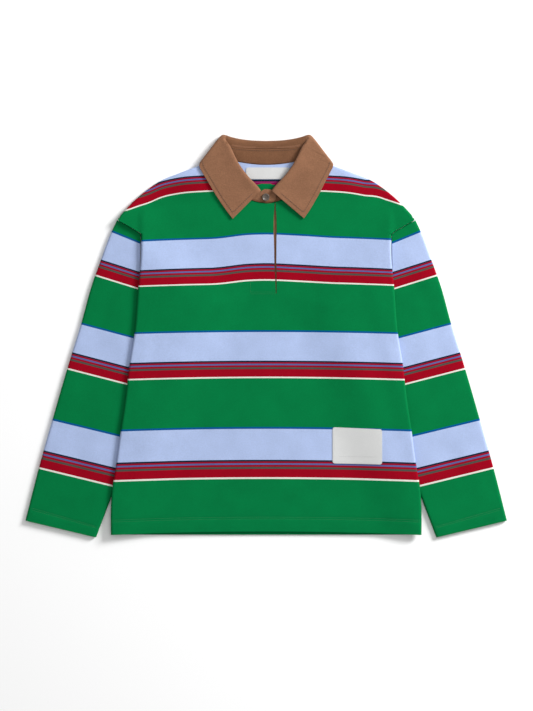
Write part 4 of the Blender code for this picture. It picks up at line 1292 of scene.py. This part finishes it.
def label_rows(corners, height, inset):
    """Rows just inside the four edges of a label."""
    middle = np.mean(corners, axis=0)
    rows = []
    for a, b in zip(corners, corners[1:] + corners[:1]):
        ends = []
        for p in (a, b):
            ends.append((p[0] + math.copysign(inset, middle[0] - p[0]),
                         p[1] + math.copysign(inset, middle[1] - p[1])))
        rows.append([(x, y, height(x, y) + LABEL_TOP + 0.05) for x, y in line(*ends, 30)])
    return rows


green_thread = make_thread("green thread", (0.002, 0.15, 0.042))
sew("hem_stitches", [hem_row(depth, sign) for depth in HEM_ROWS for sign in (1, -1)],
    green_thread, pitch=2.9, length=2.3, thick=0.42)
sew("cuff_stitches", [cuff_row(side, depth) for depth in CUFF_ROWS for side in (-1, 1)],
    green_thread, pitch=2.9, length=2.3, thick=0.42)
sew("placket_stitches",
    [on_front(line((-22.5, y), (12.4, y))) for y in (62.6, 65.4)] +
    [on_front(line((-23.6, 65.4), (-23.6, 81.0))), on_front(line((-23.6, 81.0), (10.8, 81.0)))],
    green_thread, pitch=2.6, length=2.1, thick=0.36)
tan_thread = make_thread("tan thread", (0.070, 0.030, 0.014))
sew("collar_stitches", leaf_edge_rows(LEAF_INSET) + band_seam_rows(),
    tan_thread, pitch=3.2, length=2.6, thick=0.85)
white_thread = make_thread("white thread", (0.62, 0.62, 0.60))
sew("label_stitches",
    label_rows(HEM_LABEL, front_height, 1.3) + label_rows(NECK_LABEL, back_height, 1.0),
    white_thread, pitch=2.0, length=1.6, thick=0.28)
LABEL_RULE = ((109.0, -181.2), (165.0, -182.0))
grey_thread = make_thread("grey thread", (0.16, 0.16, 0.17))
sew("label_rule", [[(x, y, front_height(x, y) + LABEL_TOP + 0.1)
                    for x, y in line(*LABEL_RULE)]],
    grey_thread, pitch=1.5, length=0.8, thick=0.32)


# The table top, the studio light and the camera straight above.

TABLE_REACH = 4.0           # metres, as all that follows
TABLE_Z = -0.0003


def make_floor():
    mesh = bpy.data.meshes.new("table_top")
    mesh.from_pydata([(x * TABLE_REACH, y * TABLE_REACH, TABLE_Z)
                      for x, y in ((-1, -1), (1, -1), (1, 1), (-1, 1))], [], [(0, 1, 2, 3)])
    white = {"Roughness": 0.9, "Base Color": (0.93, 0.93, 0.93, 1.0), "Specular IOR Level": 0.1}
    mesh.materials.append(new_material("white table", white)[0])
    floor = in_scene("table_top", mesh)


def add_light(name, place, size, power):
    """A square soft light that faces the middle of the shirt."""
    data = bpy.data.lights.new(name, "AREA")
    data.size = size
    data.energy = power
    light = in_scene(name, data)
    light.location = place
    light.rotation_euler = (-Vector(place)).to_track_quat("-Z", "Y").to_euler()


make_floor()
add_light("key_light", (2.9, 1.9, 1.9), size=1.3, power=215.0)
add_light("top_light", (0.4, 0.3, 2.6), size=1.8, power=15.0)
world = bpy.data.worlds.new("studio")
bpy.context.scene.world = world
world.use_nodes = True
world.node_tree.nodes["Background"].inputs["Color"].default_value = (1.0, 1.0, 1.0, 1.0)
world.node_tree.nodes["Background"].inputs["Strength"].default_value = 0.40

PIXEL = 1.5                 # millimetres of the shirt to one pixel of the picture
LENS = 135.0
SENSOR = 36.0
PICTURE_HEIGHT = 711
CENTRE = (0.45, -29.85)     # place on the table at the middle of the picture
camera_data = bpy.data.cameras.new("camera")
camera_data.lens = LENS
camera_data.sensor_width = SENSOR
camera_data.clip_end = 50.0
camera = in_scene("camera", camera_data)
distance = PICTURE_HEIGHT * PIXEL / SENSOR * LENS
camera.location = (CENTRE[0] * MM, CENTRE[1] * MM, (distance + TUBE) * MM)
bpy.context.scene.camera = camera
bpy.context.scene.view_settings.view_transform = "Standard"
